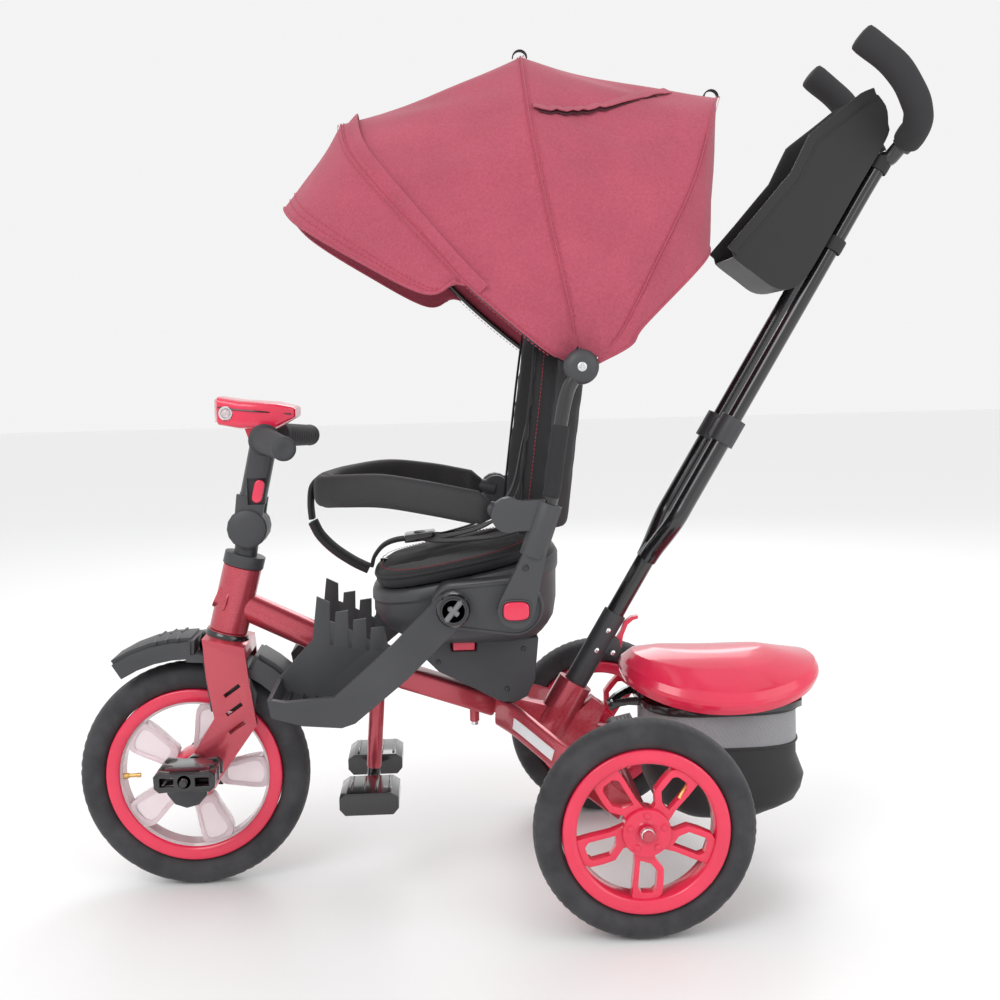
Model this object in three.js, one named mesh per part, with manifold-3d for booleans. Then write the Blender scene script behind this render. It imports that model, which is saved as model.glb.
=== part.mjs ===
// A child's push-along tricycle: steered pedal wheel, turning seat with guard ring and folding canopy,
// parent's push handle and rear basket. Millimetres. X runs rearwards, Y to the rider's right, Z up.
// The sub-parts are placed about the rear axle, and the finished group is moved so that its origin is
// on the ground under the middle of its bounding box.
import * as THREE from "three";
import { mergeVertices } from "three/addons/utils/BufferGeometryUtils.js";
import Module from "manifold-3d";

const wasm = await Module();
wasm.setup();

// Driving dimensions
const WHEELBASE = 563;
const TRACK = 450;
const FRONT_TYRE_R = 150;
const REAR_TYRE_R = 132;
const FRONT_RIM_R = 115;
const REAR_RIM_R = 99;
const TYRE_WIDTH = 46;
const WHEEL_SIDES = 28;
const STEER_LEAN = THREE.MathUtils.degToRad(14.8);
const HANDLE_LEAN = THREE.MathUtils.degToRad(30.6);
const HANDLE_TUBE_Y = 42;
const CRANK_OFFSET = [11, 30];
const BEAM_HALF_WIDTH = 22;
const HOUSING_HALF_WIDTH = 58;
const SEAT_HALF_WIDTH = 132;
const POD_Y = 172;
const HUB_Y = 170;
const GAP = 0.4;

const FRONT_AXLE = [-WHEELBASE, FRONT_TYRE_R];
const REAR_AXLE = [0, REAR_TYRE_R];
const RECLINE_PIVOT = [-144, 389];
const FOOTREST_PIVOT = [-218, 392];
const GUARD_PIVOT = [-150, 502];
const CANOPY_PIVOT = [-61, 674];
const STEM_PIVOT = [-480, 475];
const PEG_PIVOT = [-320, 254];
const HANDLE_START = [-54, 257];

// Colours as roughness and metalness with a base colour
const FRAME_RED = { color: 0xa83a42, roughness: 0.35, metalness: 0.3 };
const GLOSS_RED = { color: 0xe3173f, roughness: 0.25, metalness: 0 };
const CHARCOAL = { color: 0x3a3b3d, roughness: 0.6, metalness: 0 };
const GLOSS_BLACK = { color: 0x0c0c0d, roughness: 0.15, metalness: 0.3 };
const RUBBER = { color: 0x1d1d1f, roughness: 0.85, metalness: 0 };
const FOAM = { color: 0x2a2a2c, roughness: 0.95, metalness: 0 };
const BLACK_FABRIC = { color: 0x161617, roughness: 0.95, metalness: 0 };
const RED_FABRIC = { color: 0xb03a52, roughness: 0.95, metalness: 0 };
const CLEAR = { color: 0xf2d8de, roughness: 0.1, metalness: 0 };
const STEEL = { color: 0xc8c8ca, roughness: 0.2, metalness: 1 };

const Y_AXIS = new THREE.Vector3(0, 1, 0);
const V = (x, y, z) => new THREE.Vector3(x, y, z);
const at = ([x, z], y = 0) => V(x, y, z);

// ---------------------------------------------------------------- shape helpers

// The geometry as separate triangles with every face pointing outwards and no empty face. The corners
// of a joined or cut solid already agree exactly, which userData.exact tells.
function facingOut(geometry) {
  const p = (geometry.index ? geometry.toNonIndexed() : geometry).attributes.position;
  const corner = (i) => new THREE.Vector3().fromBufferAttribute(p, i);
  const shortest = geometry.userData.exact ? 0 : 1e-3;
  const faces = [];
  let volume = 0;
  for (let i = 0; i < p.count; i += 3) {
    const [a, b, c] = [corner(i), corner(i + 1), corner(i + 2)];
    if (Math.min(a.distanceTo(b), b.distanceTo(c), c.distanceTo(a)) < shortest) continue;
    volume += a.dot(b.clone().cross(c));
    faces.push([a, b, c]);
  }
  const points = faces.flatMap(([a, b, c]) => (volume > 0 ? [a, b, c] : [a, c, b]));
  const facing = new THREE.BufferGeometry().setFromPoints(points);
  facing.userData.exact = geometry.userData.exact;
  return facing;
}

function solidOf(geometry) {
  const merged = mergeVertices(facingOut(geometry), geometry.userData.exact ? 1e-6 : 1e-3);
  const triVerts = new Uint32Array(merged.index.array);
  const vertProperties = merged.attributes.position.array;
  return new wasm.Manifold(new wasm.Mesh({ numProp: 3, vertProperties, triVerts }));
}

function geometryOf(solid) {
  const { vertProperties, triVerts, numProp } = solid.getMesh();
  const points = Array.from(triVerts, (i) => V(...vertProperties.slice(i * numProp, i * numProp + 3)));
  const geometry = new THREE.BufferGeometry().setFromPoints(points);
  geometry.userData.exact = true;
  return geometry;
}

const join = (...pieces) => geometryOf(pieces.map(solidOf).reduce((a, b) => a.add(b)));
const cut = (piece, ...tools) =>
  geometryOf(tools.map(solidOf).reduce((a, b) => a.subtract(b), solidOf(piece)));

function mirrored(geometry, side) {
  return side < 0 ? geometry : facingOut(geometry.clone().scale(1, -1, 1));
}

function block(xLow, xHigh, yLow, yHigh, zLow, zHigh) {
  const box = new THREE.BoxGeometry(xHigh - xLow, yHigh - yLow, zHigh - zLow);
  return box.translate((xLow + xHigh) / 2, (yLow + yHigh) / 2, (zLow + zHigh) / 2);
}

function rod(from, to, radius, sides = 16, endRadius = radius) {
  const along = to.clone().sub(from);
  const body = new THREE.CylinderGeometry(endRadius, radius, along.length(), sides);
  body.applyQuaternion(new THREE.Quaternion().setFromUnitVectors(Y_AXIS, along.normalize()));
  return body.translate(...from.clone().lerp(to, 0.5).toArray());
}

// A disc about an axis along Y.
const disc = (centre, radius, yLow, yHigh, sides = 20) =>
  rod(at(centre, yLow), at(centre, yHigh), radius, sides);

// A plate with its outline in the XZ plane, between two heights in Y.
function plate(outline, yLow, yHigh, holes = []) {
  const shape = new THREE.Shape(outline.map(([x, z]) => new THREE.Vector2(x, z)));
  for (const hole of holes)
    shape.holes.push(new THREE.Path(hole.map(([x, z]) => new THREE.Vector2(x, z))));
  const body = new THREE.ExtrudeGeometry(shape, { depth: yHigh - yLow, bevelEnabled: false });
  return body.rotateX(Math.PI / 2).translate(0, yHigh, 0);
}

// A link between two round ends in the XZ plane.
function link(a, radiusA, b, radiusB, yLow, yHigh, sides = 20) {
  const long = Math.hypot(b[0] - a[0], b[1] - a[1]);
  const heading = Math.atan2(b[1] - a[1], b[0] - a[0]);
  const spread = Math.acos((radiusA - radiusB) / long);
  const outline = [];
  const arc = (centre, radius, from, to) => {
    for (let i = 0; i <= sides / 2; i++) {
      const angle = from + ((to - from) * i) / (sides / 2);
      outline.push([centre[0] + radius * Math.cos(angle), centre[1] + radius * Math.sin(angle)]);
    }
  };
  arc(a, radiusA, heading + spread, heading + 2 * Math.PI - spread);
  arc(b, radiusB, heading - spread, heading + spread);
  return plate(outline, yLow, yHigh);
}

// A body turned about an axis along Y from a profile of [radius, y] pairs.
function turned(profile, [x, z], sides = WHEEL_SIDES) {
  const points = profile.map(([radius, y]) => new THREE.Vector2(radius, y));
  const body = new THREE.LatheGeometry(points, sides, Math.PI / sides);
  return facingOut(body.translate(x, 0, z));
}

// A round tube along a smooth curve.
function tube(points, radius, sides = 8, steps = 12) {
  const curve = new THREE.CatmullRomCurve3(points, false, "centripetal");
  const ring = [...Array(sides).keys()].map((i) => {
    const angle = (2 * Math.PI * i) / sides;
    return new THREE.Vector2(radius * Math.cos(angle), radius * Math.sin(angle));
  });
  const shape = new THREE.Shape(ring);
  return facingOut(new THREE.ExtrudeGeometry(shape, { steps, bevelEnabled: false, extrudePath: curve }));
}

// A ring of points round a centre: an ellipse for power 2, nearer a rectangle as the power rises.
function ringOf(centre, sideways, upwards, power, count = 16) {
  return [...Array(count).keys()].map((i) => {
    const angle = (2 * Math.PI * (i + 0.5)) / count;
    const swell = (c) => Math.sign(c) * Math.abs(c) ** (2 / power);
    return centre
      .clone()
      .addScaledVector(sideways, swell(Math.cos(angle)))
      .addScaledVector(upwards, swell(Math.sin(angle)));
  });
}

// A closed skin through convex rings that all go round the same way.
function loft(rings) {
  const points = [];
  const count = rings[0].length;
  for (let i = 1; i < rings.length; i++)
    for (let k = 0; k < count; k++) {
      const next = (k + 1) % count;
      const [a, b, c, d] = [rings[i - 1][k], rings[i - 1][next], rings[i][next], rings[i][k]];
      points.push(a, b, c, a, c, d);
    }
  const [first, last] = [rings[0], rings.at(-1)];
  for (let k = 1; k + 1 < count; k++) {
    points.push(first[0], first[k + 1], first[k]);
    points.push(last[0], last[k], last[k + 1]);
  }
  return facingOut(new THREE.BufferGeometry().setFromPoints(points));
}

// A flat band or bar along a smooth curve, kept upright: halfThick across the curve, halfTall along up.
function band(points, halfThick, halfTall, { steps = 12, power = 4, count = 12, up = V(0, 0, 1) } = {}) {
  const curve = new THREE.CatmullRomCurve3(points, false, "centripetal");
  const rings = [];
  for (let i = 0; i <= steps; i++) {
    const along = curve.getTangent(i / steps);
    const across = along.clone().cross(up).normalize();
    const tall = across.clone().cross(along).normalize();
    const size = [across.multiplyScalar(halfThick), tall.multiplyScalar(halfTall)];
    rings.push(ringOf(curve.getPoint(i / steps), ...size, power, count));
  }
  return loft(rings);
}

// A closed sheet between two grids of points with the same rows and columns.
function sheet(outer, inner) {
  const points = [];
  const quad = (a, b, c, d) => points.push(a, b, c, a, c, d);
  const [rows, columns] = [outer.length - 1, outer[0].length - 1];
  for (let i = 0; i < rows; i++)
    for (let k = 0; k < columns; k++) {
      quad(outer[i][k], outer[i][k + 1], outer[i + 1][k + 1], outer[i + 1][k]);
      quad(inner[i][k], inner[i + 1][k], inner[i + 1][k + 1], inner[i][k + 1]);
    }
  for (let i = 0; i < rows; i++) {
    quad(outer[i][0], outer[i + 1][0], inner[i + 1][0], inner[i][0]);
    quad(outer[i + 1][columns], outer[i][columns], inner[i][columns], inner[i + 1][columns]);
  }
  for (let k = 0; k < columns; k++) {
    quad(outer[0][k + 1], outer[0][k], inner[0][k], inner[0][k + 1]);
    quad(outer[rows][k], outer[rows][k + 1], inner[rows][k + 1], inner[rows][k]);
  }
  return facingOut(new THREE.BufferGeometry().setFromPoints(points));
}

const tricycle = new THREE.Group();

function add(name, geometry, finish) {
  const mesh = new THREE.Mesh(facingOut(geometry), new THREE.MeshStandardMaterial(finish));
  mesh.name = name;
  tricycle.add(mesh);
}

function addPair(name, leftGeometry, finish) {
  add(name + "_left", leftGeometry, finish);
  add(name + "_right", mirrored(leftGeometry, 1), finish);
}

// ---------------------------------------------------------------- placing lines

const onSteering = (s, y = 0) =>
  V(FRONT_AXLE[0] + s * Math.sin(STEER_LEAN), y, FRONT_AXLE[1] + s * Math.cos(STEER_LEAN));
const handleAlong = V(Math.sin(HANDLE_LEAN), 0, Math.cos(HANDLE_LEAN));
const onHandle = (s, y = 0) => at(HANDLE_START, y).addScaledVector(handleAlong, s);

// ---------------------------------------------------------------- frame

const STEERER_R = 14;
const HEAD_TUBE_R = 25;
const HEAD_LOW = 196;
const HEAD_HIGH = 284;

function headTube() {
  const shell = rod(onSteering(HEAD_LOW), onSteering(HEAD_HIGH), HEAD_TUBE_R, 16);
  return cut(shell, rod(onSteering(HEAD_LOW - 5), onSteering(HEAD_HIGH + 5), STEERER_R + 2 * GAP, 12));
}

// The main tube starts round at the head tube and turns into a flat-sided beam under the seat.
function mainTubeSkin(grow) {
  const stations = [
    [-512, 383, 19, 19, 2],
    [-481, 367, 19, 19, 2],
    [-398, 326, 19, 19, 2.2],
    [-340, 297, 20.5, 17, 3.2],
    [-283, 270, BEAM_HALF_WIDTH, 15, 6],
    [-164, 229, BEAM_HALF_WIDTH, 15, 6],
  ];
  const rings = stations.map(([x, z, wide, tall, power], i) => {
    const [from, to] = [stations[Math.max(i - 1, 0)], stations[Math.min(i + 1, stations.length - 1)]];
    const along = V(to[0] - from[0], 0, to[1] - from[1]).normalize();
    const upwards = V(-along.z, 0, along.x).multiplyScalar(tall + grow);
    return ringOf(V(x, 0, z), V(0, wide + grow, 0), upwards, power, 16);
  });
  return loft(rings);
}

const mainTube = () =>
  cut(mainTubeSkin(0), rod(onSteering(HEAD_LOW - 9), onSteering(HEAD_HIGH + 9), HEAD_TUBE_R + 1, 16));

// The housing under the seat is a shell round the beam, with its lever slot on the left.
function swivelHousing() {
  const outline = [[-272, 329], [-262, 312], [-238, 287], [-190, 262], [-161, 246], [-142, 242],
    [-124, 251], [-114, 272], [-108, 329]];
  const body = plate(outline, -HOUSING_HALF_WIDTH, HOUSING_HALF_WIDTH);
  const leverSlot = block(-221, -189, -HOUSING_HALF_WIDTH - 1, 12 - HOUSING_HALF_WIDTH, 314, 336);
  return cut(body, mainTubeSkin(GAP), leverSlot);
}

const swivelLever = () => block(-219, -191, -HOUSING_HALF_WIDTH - 7, 11 - HOUSING_HALF_WIDTH, 316, 327.5);

// One of the two arms that spread from the beam to the rear axle.
function yokeArm() {
  const route = [V(-160, -31, 226), V(-135, -76, 219), V(-84, -146, 190), V(-40, -170, 160),
    V(-14, -178, 142)];
  return cut(band(route, 6, 19, { steps: 7, power: 5, count: 8 }), rearTubeSkin(GAP), mainTubeSkin(GAP));
}

const rearTubeSkin = (grow) => disc(REAR_AXLE, 12 + grow, -192 - grow, 192 + grow, 12);

// The cross tube of the frame with the steel axle, and the domed nuts that keep the wheels on.
function rearAxle() {
  const shaft = disc(REAR_AXLE, 6, -250, 250, 10);
  const nut = (side) => rod(at(REAR_AXLE, side * 249), at(REAR_AXLE, side * 256), 9, 12, 6);
  return join(rearTubeSkin(0), shaft, nut(-1), nut(1));
}

const SLEEVE_R = 15.5;
const BRAKE_PIVOT = [-3, 186];
const BRAKE_LUG_Y = 5;
const BRAKE_PIN_R = 3;

// The socket of the push handle on its bracket, between the beam and the rear axle.
function handleSocket() {
  const barrel = rod(onHandle(-78), onHandle(-3), 24, 16);
  const stay = plate([[-163, 244], [-96, 226], [-66, 205], [-34, 234], [-17, 221], [-30, 194], [-22, 146],
    [-60, 160], [-104, 184], [-160, 208]], -13, 13);
  const brakeLug = link([-32, 186], 9, BRAKE_PIVOT, 7, -BRAKE_LUG_Y, BRAKE_LUG_Y, 12);
  const bore = rod(onHandle(-64), onHandle(10), SLEEVE_R + GAP, 14);
  const pinRoom = disc(BRAKE_PIVOT, BRAKE_PIN_R + GAP, -8, 8, 10);
  return cut(join(barrel, stay, brakeLug), bore, mainTubeSkin(GAP), rearTubeSkin(GAP), pinRoom);
}

add("head_tube", headTube(), FRAME_RED);
add("main_tube", mainTube(), FRAME_RED);
add("swivel_housing", swivelHousing(), CHARCOAL);
add("swivel_lever", swivelLever(), GLOSS_RED);
addPair("rear_yoke", yokeArm(), FRAME_RED);
add("rear_axle", rearAxle(), STEEL);
add("handle_socket", handleSocket(), FRAME_RED);

// ---------------------------------------------------------------- fork and front wheel

const LEG_INNER_Y = 40.5;
const LEG_OUTER_Y = 50;
const AXLE_HOLE_R = 6;

// Two flat legs with slanted slots, the crown over the tyre, the steerer and its lower bearing collar.
function fork() {
  const legOutline = [[-539, 337], [-486, 324], [-482, 281], [-474, 223], [-530, 146], [-545, 134],
    [-563, 131], [-578, 139], [-582, 155], [-559, 184], [-528, 234], [-536, 287]];
  const slots = [[-514, 262.5, -494, 276.5], [-512, 238, -492, 252], [-509.5, 214, -489.5, 228]].map(
    ([x1, z1, x2, z2]) => band([V(x1, -60, z1), V(x2, -60, z2)], 30, 2.6, { steps: 1, power: 8, count: 8 }),
  );
  const axleHole = disc(FRONT_AXLE, AXLE_HOLE_R, -60, 60, 10);
  const leg = cut(plate(legOutline, -LEG_OUTER_Y, -LEG_INNER_Y), ...slots, axleHole);
  const crown = plate([[-539.5, 338], [-486, 325], [-484.5, 308], [-537.5, 319]], -LEG_OUTER_Y, LEG_OUTER_Y);
  const steerer = rod(onSteering(175), onSteering(HEAD_HIGH - GAP), STEERER_R, 12);
  const collar = rod(onSteering(180), onSteering(HEAD_LOW - GAP), 27, 14);
  return join(leg, mirrored(leg, 1), crown, steerer, collar);
}

// An arc of curved sheet about the front axle, as wide as 2 x halfWidth.
function guardArc(inner, outer, halfWidth, fromDeg, toDeg) {
  const steps = Math.max(3, Math.round(Math.abs(toDeg - fromDeg) / 9));
  const arc = (radius, i) => {
    const angle = THREE.MathUtils.degToRad(fromDeg + ((toDeg - fromDeg) * i) / steps);
    return [FRONT_AXLE[0] + radius * Math.cos(angle), FRONT_AXLE[1] + radius * Math.sin(angle)];
  };
  const outline = [...Array(steps + 1).keys()].map((i) => arc(outer, i));
  for (let i = steps; i >= 0; i--) outline.push(arc(inner, i));
  return plate(outline, -halfWidth, halfWidth);
}

// The mudguard dips to a saddle under the crown and has skirts down both sides.
function mudguard() {
  const top = [guardArc(176, 187, 30, 88, 121.5), guardArc(176, 187, 30, 38, 60)];
  const skirts = [-1, 1].flatMap((side) => {
    const centre = side * 34.5;
    const skirt = (low, high, from, to) => guardArc(low, high, 3.5, from, to).translate(0, centre, 0);
    return [skirt(160, 182, 88, 121.5), skirt(156, 182, 38, 60), skirt(156, 165.5, 58, 90)];
  });
  const saddle = guardArc(160, 165.5, 34.5, 58, 90);
  const ends = [guardArc(160, 184, 34.5, 86.5, 89), guardArc(160, 184, 34.5, 59, 61.5)];
  const legPlate = plate(
    [[-541, 306], [-488, 292], [-474, 262], [-478, 236], [-498, 240], [-534, 240]], 31, 38.5);
  return join(...top, ...skirts, saddle, ...ends, legPlate, mirrored(legPlate, 1));
}

// A tyre with a flat tread and rounded shoulders, closed round its own section.
function tyre(radius, rimRadius, centre) {
  const half = TYRE_WIDTH / 2;
  const tread = radius / Math.cos(Math.PI / WHEEL_SIDES);
  const seat = rimRadius + 2 * GAP;
  const side = [[seat, 14], [seat + 9, half], [tread - 8, half - 3], [tread, 8]];
  const other = side.map(([r, y]) => [r, -y]).reverse();
  return turned([...side, ...other, side[0]], centre);
}

// A rim with a raised lip on each side of the tyre seat.
const rimRing = (rimRadius, centre) =>
  turned([[rimRadius - 17, -15], [rimRadius, -18], [rimRadius, 18], [rimRadius - 17, 15],
    [rimRadius - 17, -15]], centre);

// An outline given as [along, across] the spoke, laid out from a wheel's centre at an angle.
function spokeOutline(outline, [x, z], angle) {
  const [c, s] = [Math.cos(angle), Math.sin(angle)];
  return outline.map(([r, t]) => [x + r * c - t * s, z + r * s + t * c]);
}

const SPOKES = 5;
const spokeAngles = (first) => [...Array(SPOKES).keys()].map((i) => first + (2 * Math.PI * i) / SPOKES);

// Clear wedge spokes round the hub.
function frontSpokes() {
  const reach = FRONT_RIM_R - 17 - 0.6;
  const wedge = [[28, -12], [52, -17], [84, -21], [reach - 3, -16], [reach - 3, 12], [84, 21], [52, 15],
    [28, 10]];
  const spokes = spokeAngles(0).map((angle) => plate(spokeOutline(wedge, FRONT_AXLE, angle), -13, 13));
  const hub = disc(FRONT_AXLE, 33, -36, 36, 16);
  return cut(join(hub, ...spokes), disc(FRONT_AXLE, AXLE_HOLE_R, -60, 60, 10));
}

// The pedal axle with its two opposed crank arms, in one piece.
function crank() {
  const arm = (side) => {
    const [dx, dz] = CRANK_OFFSET.map((d) => -side * d);
    const tip = [FRONT_AXLE[0] + dx, FRONT_AXLE[1] + dz];
    const yLow = side < 0 ? -68 : 56;
    const spindle = rod(at(tip, side * 60), at(tip, side * 147), 5, 8);
    return [link(FRONT_AXLE, 27, tip, 11, yLow, yLow + 12, 14), spindle];
  };
  return join(disc(FRONT_AXLE, AXLE_HOLE_R - GAP, -60, 60, 10), ...arm(-1), ...arm(1));
}

function pedal(side) {
  const x = FRONT_AXLE[0] - side * CRANK_OFFSET[0];
  const z = FRONT_AXLE[1] - side * CRANK_OFFSET[1];
  const outline = [[x - 38, z - 8], [x - 30, z - 14], [x + 30, z - 14], [x + 38, z - 8], [x + 38, z + 8],
    [x + 30, z + 13], [x, z + 10], [x - 30, z + 13], [x - 38, z + 8]];
  const [low, high] = side < 0 ? [-140, -72] : [72, 140];
  return cut(plate(outline, low, high), disc([x, z], 5 + GAP, -160, 160, 8));
}

add("fork", fork(), FRAME_RED);
add("mudguard", mudguard(), CHARCOAL);
add("front_tyre", tyre(FRONT_TYRE_R, FRONT_RIM_R, FRONT_AXLE), RUBBER);
add("front_rim", rimRing(FRONT_RIM_R, FRONT_AXLE), GLOSS_RED);
add("front_spokes", frontSpokes(), CLEAR);
add("crank", crank(), GLOSS_BLACK);
add("pedal_left", pedal(-1), GLOSS_BLACK);
add("pedal_right", pedal(1), GLOSS_BLACK);

// ---------------------------------------------------------------- rear wheels and brake

// A one-piece wheel: rim, five forked spokes and hub.
function rearRim(side) {
  const outer = [[18, -14], [86, -17], [88, 8], [76, 19], [45, 20], [31, 9], [18, 9]];
  const hole = [[34, -8], [70, -11], [72, 11], [48, 13], [37, 3]];
  const spokes = spokeAngles(-Math.PI / 2).map((angle) =>
    plate(spokeOutline(outer, REAR_AXLE, angle), -2, 14, [spokeOutline(hole, REAR_AXLE, angle)]));
  const hub = disc(REAR_AXLE, 25, -21, 22, 16);
  const shape = join(rimRing(REAR_RIM_R, REAR_AXLE), hub, ...spokes);
  const bored = cut(shape, disc(REAR_AXLE, 6 + GAP, -40, 40, 10));
  return side < 0 ? bored.scale(1, -1, 1).translate(0, -TRACK / 2, 0) : bored.translate(0, TRACK / 2, 0);
}

for (const [side, word] of [[-1, "left"], [1, "right"]]) {
  const placed = tyre(REAR_TYRE_R, REAR_RIM_R, REAR_AXLE).translate(0, (side * TRACK) / 2, 0);
  add("rear_tyre_" + word, placed, RUBBER);
  add("rear_rim_" + word, rearRim(side), GLOSS_RED);
}

// The foot bar of the parking brake, with its pin in the slot that takes the bracket's lug.
function brakePedal() {
  const hub = disc(BRAKE_PIVOT, 8, -36, 36, 12);
  const bar = plate([[-3, 193.5], [22, 199], [24, 192], [-3, 180]], -36, 36);
  const lugRoom = block(-14, 8, -BRAKE_LUG_Y - 1, BRAKE_LUG_Y + 1, 170, 202);
  return join(cut(join(hub, bar), lugRoom), disc(BRAKE_PIVOT, BRAKE_PIN_R, -10, 10, 10));
}

add("brake_pedal", brakePedal(), CHARCOAL);

// ---------------------------------------------------------------- stem and handlebar

const KNUCKLE_R = 26;

// The cap of the head tube and the lower half of the stem's round hinge.
function stemBall() {
  const cap = rod(onSteering(HEAD_HIGH + GAP), onSteering(300), 26.5, 16);
  const neck = rod(onSteering(299), at(STEM_PIVOT), 15, 14);
  const cheekRoom = [-40, 11].map((low) => disc(STEM_PIVOT, KNUCKLE_R + 1.5, low, low + 29, 16));
  return join(cap, cut(neck, ...cheekRoom), disc(STEM_PIVOT, KNUCKLE_R, -11, 11, 16));
}

const BAR_X = -452;
const BAR_Z = 592;

const BAR_HALF = [V(BAR_X + 34, -140, BAR_Z - 6), V(BAR_X, -52, BAR_Z)];
const BAR_ROUTE = [...BAR_HALF, V(BAR_X - 4, 0, BAR_Z), ...BAR_HALF.map((p) => V(p.x, -p.y, p.z)).reverse()];
const BAR_R = 9;
const CHEEKS_Y = [[-22, -11.5], [11.5, 22]];

// The stem's cheeks and column, and the swept handlebar in one piece with it.
function stem() {
  const cheeks = CHEEKS_Y.map(([low, high]) => disc(STEM_PIVOT, KNUCKLE_R, low, high, 16));
  const cheekRoots = CHEEKS_Y.map(([low, high]) =>
    plate([[-497, 480], [-463, 474], [-456, 512], [-492, 520]], low * 0.92, high * 0.92));
  const column = band([V(-474.5, 0, 508), V(-466, 0, 545), V(-455, 0, 592)], 19, 17,
    { steps: 3, power: 3, up: V(-1, 0, 0.2) });
  const bar = tube(BAR_ROUTE, BAR_R, 8, 10);
  const buttonPocket = block(-478, -454, -24, -11, 506, 540);
  const knuckleRoom = disc(STEM_PIVOT, KNUCKLE_R + 1, -11.5, 11.5, 18);
  return cut(join(...cheeks, ...cheekRoots, column, bar), knuckleRoom, buttonPocket);
}

const stemButton = () => link([-466, 514.5], 6.5, [-462, 531.5], 6.5, -22, -16, 12);

// A tapered rubber grip with a wide flange at its inner end.
function handlebarGrip() {
  const inner = V(BAR_X + 3, -60, BAR_Z - 0.5);
  const outer = V(BAR_X + 41, -161, BAR_Z - 7);
  const along = outer.clone().sub(inner).normalize();
  const step = (d) => inner.clone().addScaledVector(along, d);
  const body = join(rod(inner, step(7), 20, 14), rod(step(5), outer, 16, 14, 14));
  return cut(body, tube(BAR_ROUTE, BAR_R + 1, 8, 10));
}

// The light unit over the handlebar: a faceted housing that narrows to the lamp, with a lug on the stem.
function lightPanel() {
  const section = (x, low, high, half) =>
    ringOf(V(x, 0, (low + high) / 2), V(0, half, 0), V(0, 0, (high - low) / 2), 7, 12);
  return loft([section(-511, 610, 646, 33), section(-482, 605, 641, 42), section(-436, 604, 637, 44),
    section(-411, 618, 630, 34)]);
}

add("stem_ball", stemBall(), CHARCOAL);
add("handlebar_stem", stem(), CHARCOAL);
add("stem_button", stemButton(), GLOSS_RED);
addPair("handlebar_grip", handlebarGrip(), RUBBER);
add("light_panel", lightPanel(), GLOSS_RED);

// ---------------------------------------------------------------- seat

const seatPlane = (x) => 402 + 0.19 * (x + 315);

function seatRing(xFront, xBack, halfWidth, height, power = 3) {
  const centre = V((xFront + xBack) / 2, 0, 0);
  const ring = ringOf(centre, V((xBack - xFront) / 2, 0, 0), V(0, halfWidth, 0), power, 16);
  return ring.map((p) => V(p.x, p.y, height(p.x)));
}

// The moulded pan with a pod on each side for the footrest knob and the recline joint.
function seatShell() {
  const pan = loft([
    seatRing(-272, -104, 82, () => 330),
    seatRing(-303, -92, 116, () => 347),
    seatRing(-320, -82, 130, (x) => 370 + 0.05 * (x + 315)),
    seatRing(-320, -80, SEAT_HALF_WIDTH, (x) => seatPlane(x) - 10),
    seatRing(-312, -84, 126, (x) => seatPlane(x) - 4),
  ]);
  const pod = link(FOOTREST_PIVOT, 26, RECLINE_PIVOT, 34, -POD_Y, -130, 14);
  return join(pan, pod, mirrored(pod, 1));
}

const seatCushion = () =>
  loft([
    seatRing(-311, -112, 124, (x) => seatPlane(x) - 3),
    seatRing(-316, -108, 129, (x) => seatPlane(x) + 7),
    seatRing(-311, -112, 124, (x) => seatPlane(x) + 18),
    seatRing(-296, -122, 108, (x) => seatPlane(x) + 22),
  ]);

// Lap straps that meet at the buckle on the cushion.
function harness() {
  const strap = band([V(-118, -88, 474), V(-170, -76, 459), V(-226, -34, 449), V(-252, -8, 446)], 12, 1.5,
    { steps: 5, count: 8 });
  const buckle = block(-278, -238, -20, 20, 441, 452);
  return join(strap, mirrored(strap, 1), buckle);
}

// The padded strap between the guard ring and the front of the cushion.
const crotchStrap = () =>
  band([V(-399, 0, 550), V(-402, 0, 520), V(-395, 0, 482), V(-376, 0, 448), V(-350, 0, 422), V(-324, 0, 405)],
    18, 4, { steps: 9, power: 5, count: 8, up: V(1, 0, 0) });

// One foot well: floor, finned inner wall, low outer wall and the arm up to its pivot.
function footWell() {
  const innerWall = plate([[-441, 290], [-437, 268], [-400, 257], [-354, 253], [-322, 276], [-300, 322],
    [-306, 352], [-322, 350], [-325, 322], [-329, 322], [-328, 363], [-344, 361], [-347, 326], [-351, 326],
    [-350, 374], [-366, 372], [-370, 330], [-374, 330], [-373, 385], [-389, 393], [-396, 338]], -74, -69);
  const outerWall = plate([[-441, 290], [-437, 268], [-400, 257], [-354, 253], [-338, 258], [-275, 309],
    [-224, 358], [-204, 378], [-198, 392], [-204, 406], [-218, 412], [-234, 408], [-290, 352], [-362, 290],
    [-420, 286]], -184, -POD_Y - 1);
  const floor = plate([[-441, 290], [-437, 268], [-400, 257], [-354, 253], [-322, 276], [-302, 318],
    [-308, 320], [-326, 280], [-356, 259], [-400, 263], [-432, 273], [-436, 290]], -180, -71);
  const knob = join(disc(FOOTREST_PIVOT, 21, -189, -176, 16), disc(FOOTREST_PIVOT, 15, -194, -188, 12));
  return join(innerWall, outerWall, floor, knob);
}

add("seat_shell", seatShell(), CHARCOAL);
add("seat_cushion", seatCushion(), BLACK_FABRIC);
add("harness", harness(), BLACK_FABRIC);
add("crotch_strap", crotchStrap(), BLACK_FABRIC);
addPair("footrest", footWell(), CHARCOAL);

// ---------------------------------------------------------------- backrest and guard ring

const BACK_HALF_WIDTH = 146;
const POST_R = 9;
const HOOP_PIN_R = 5;

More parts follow.
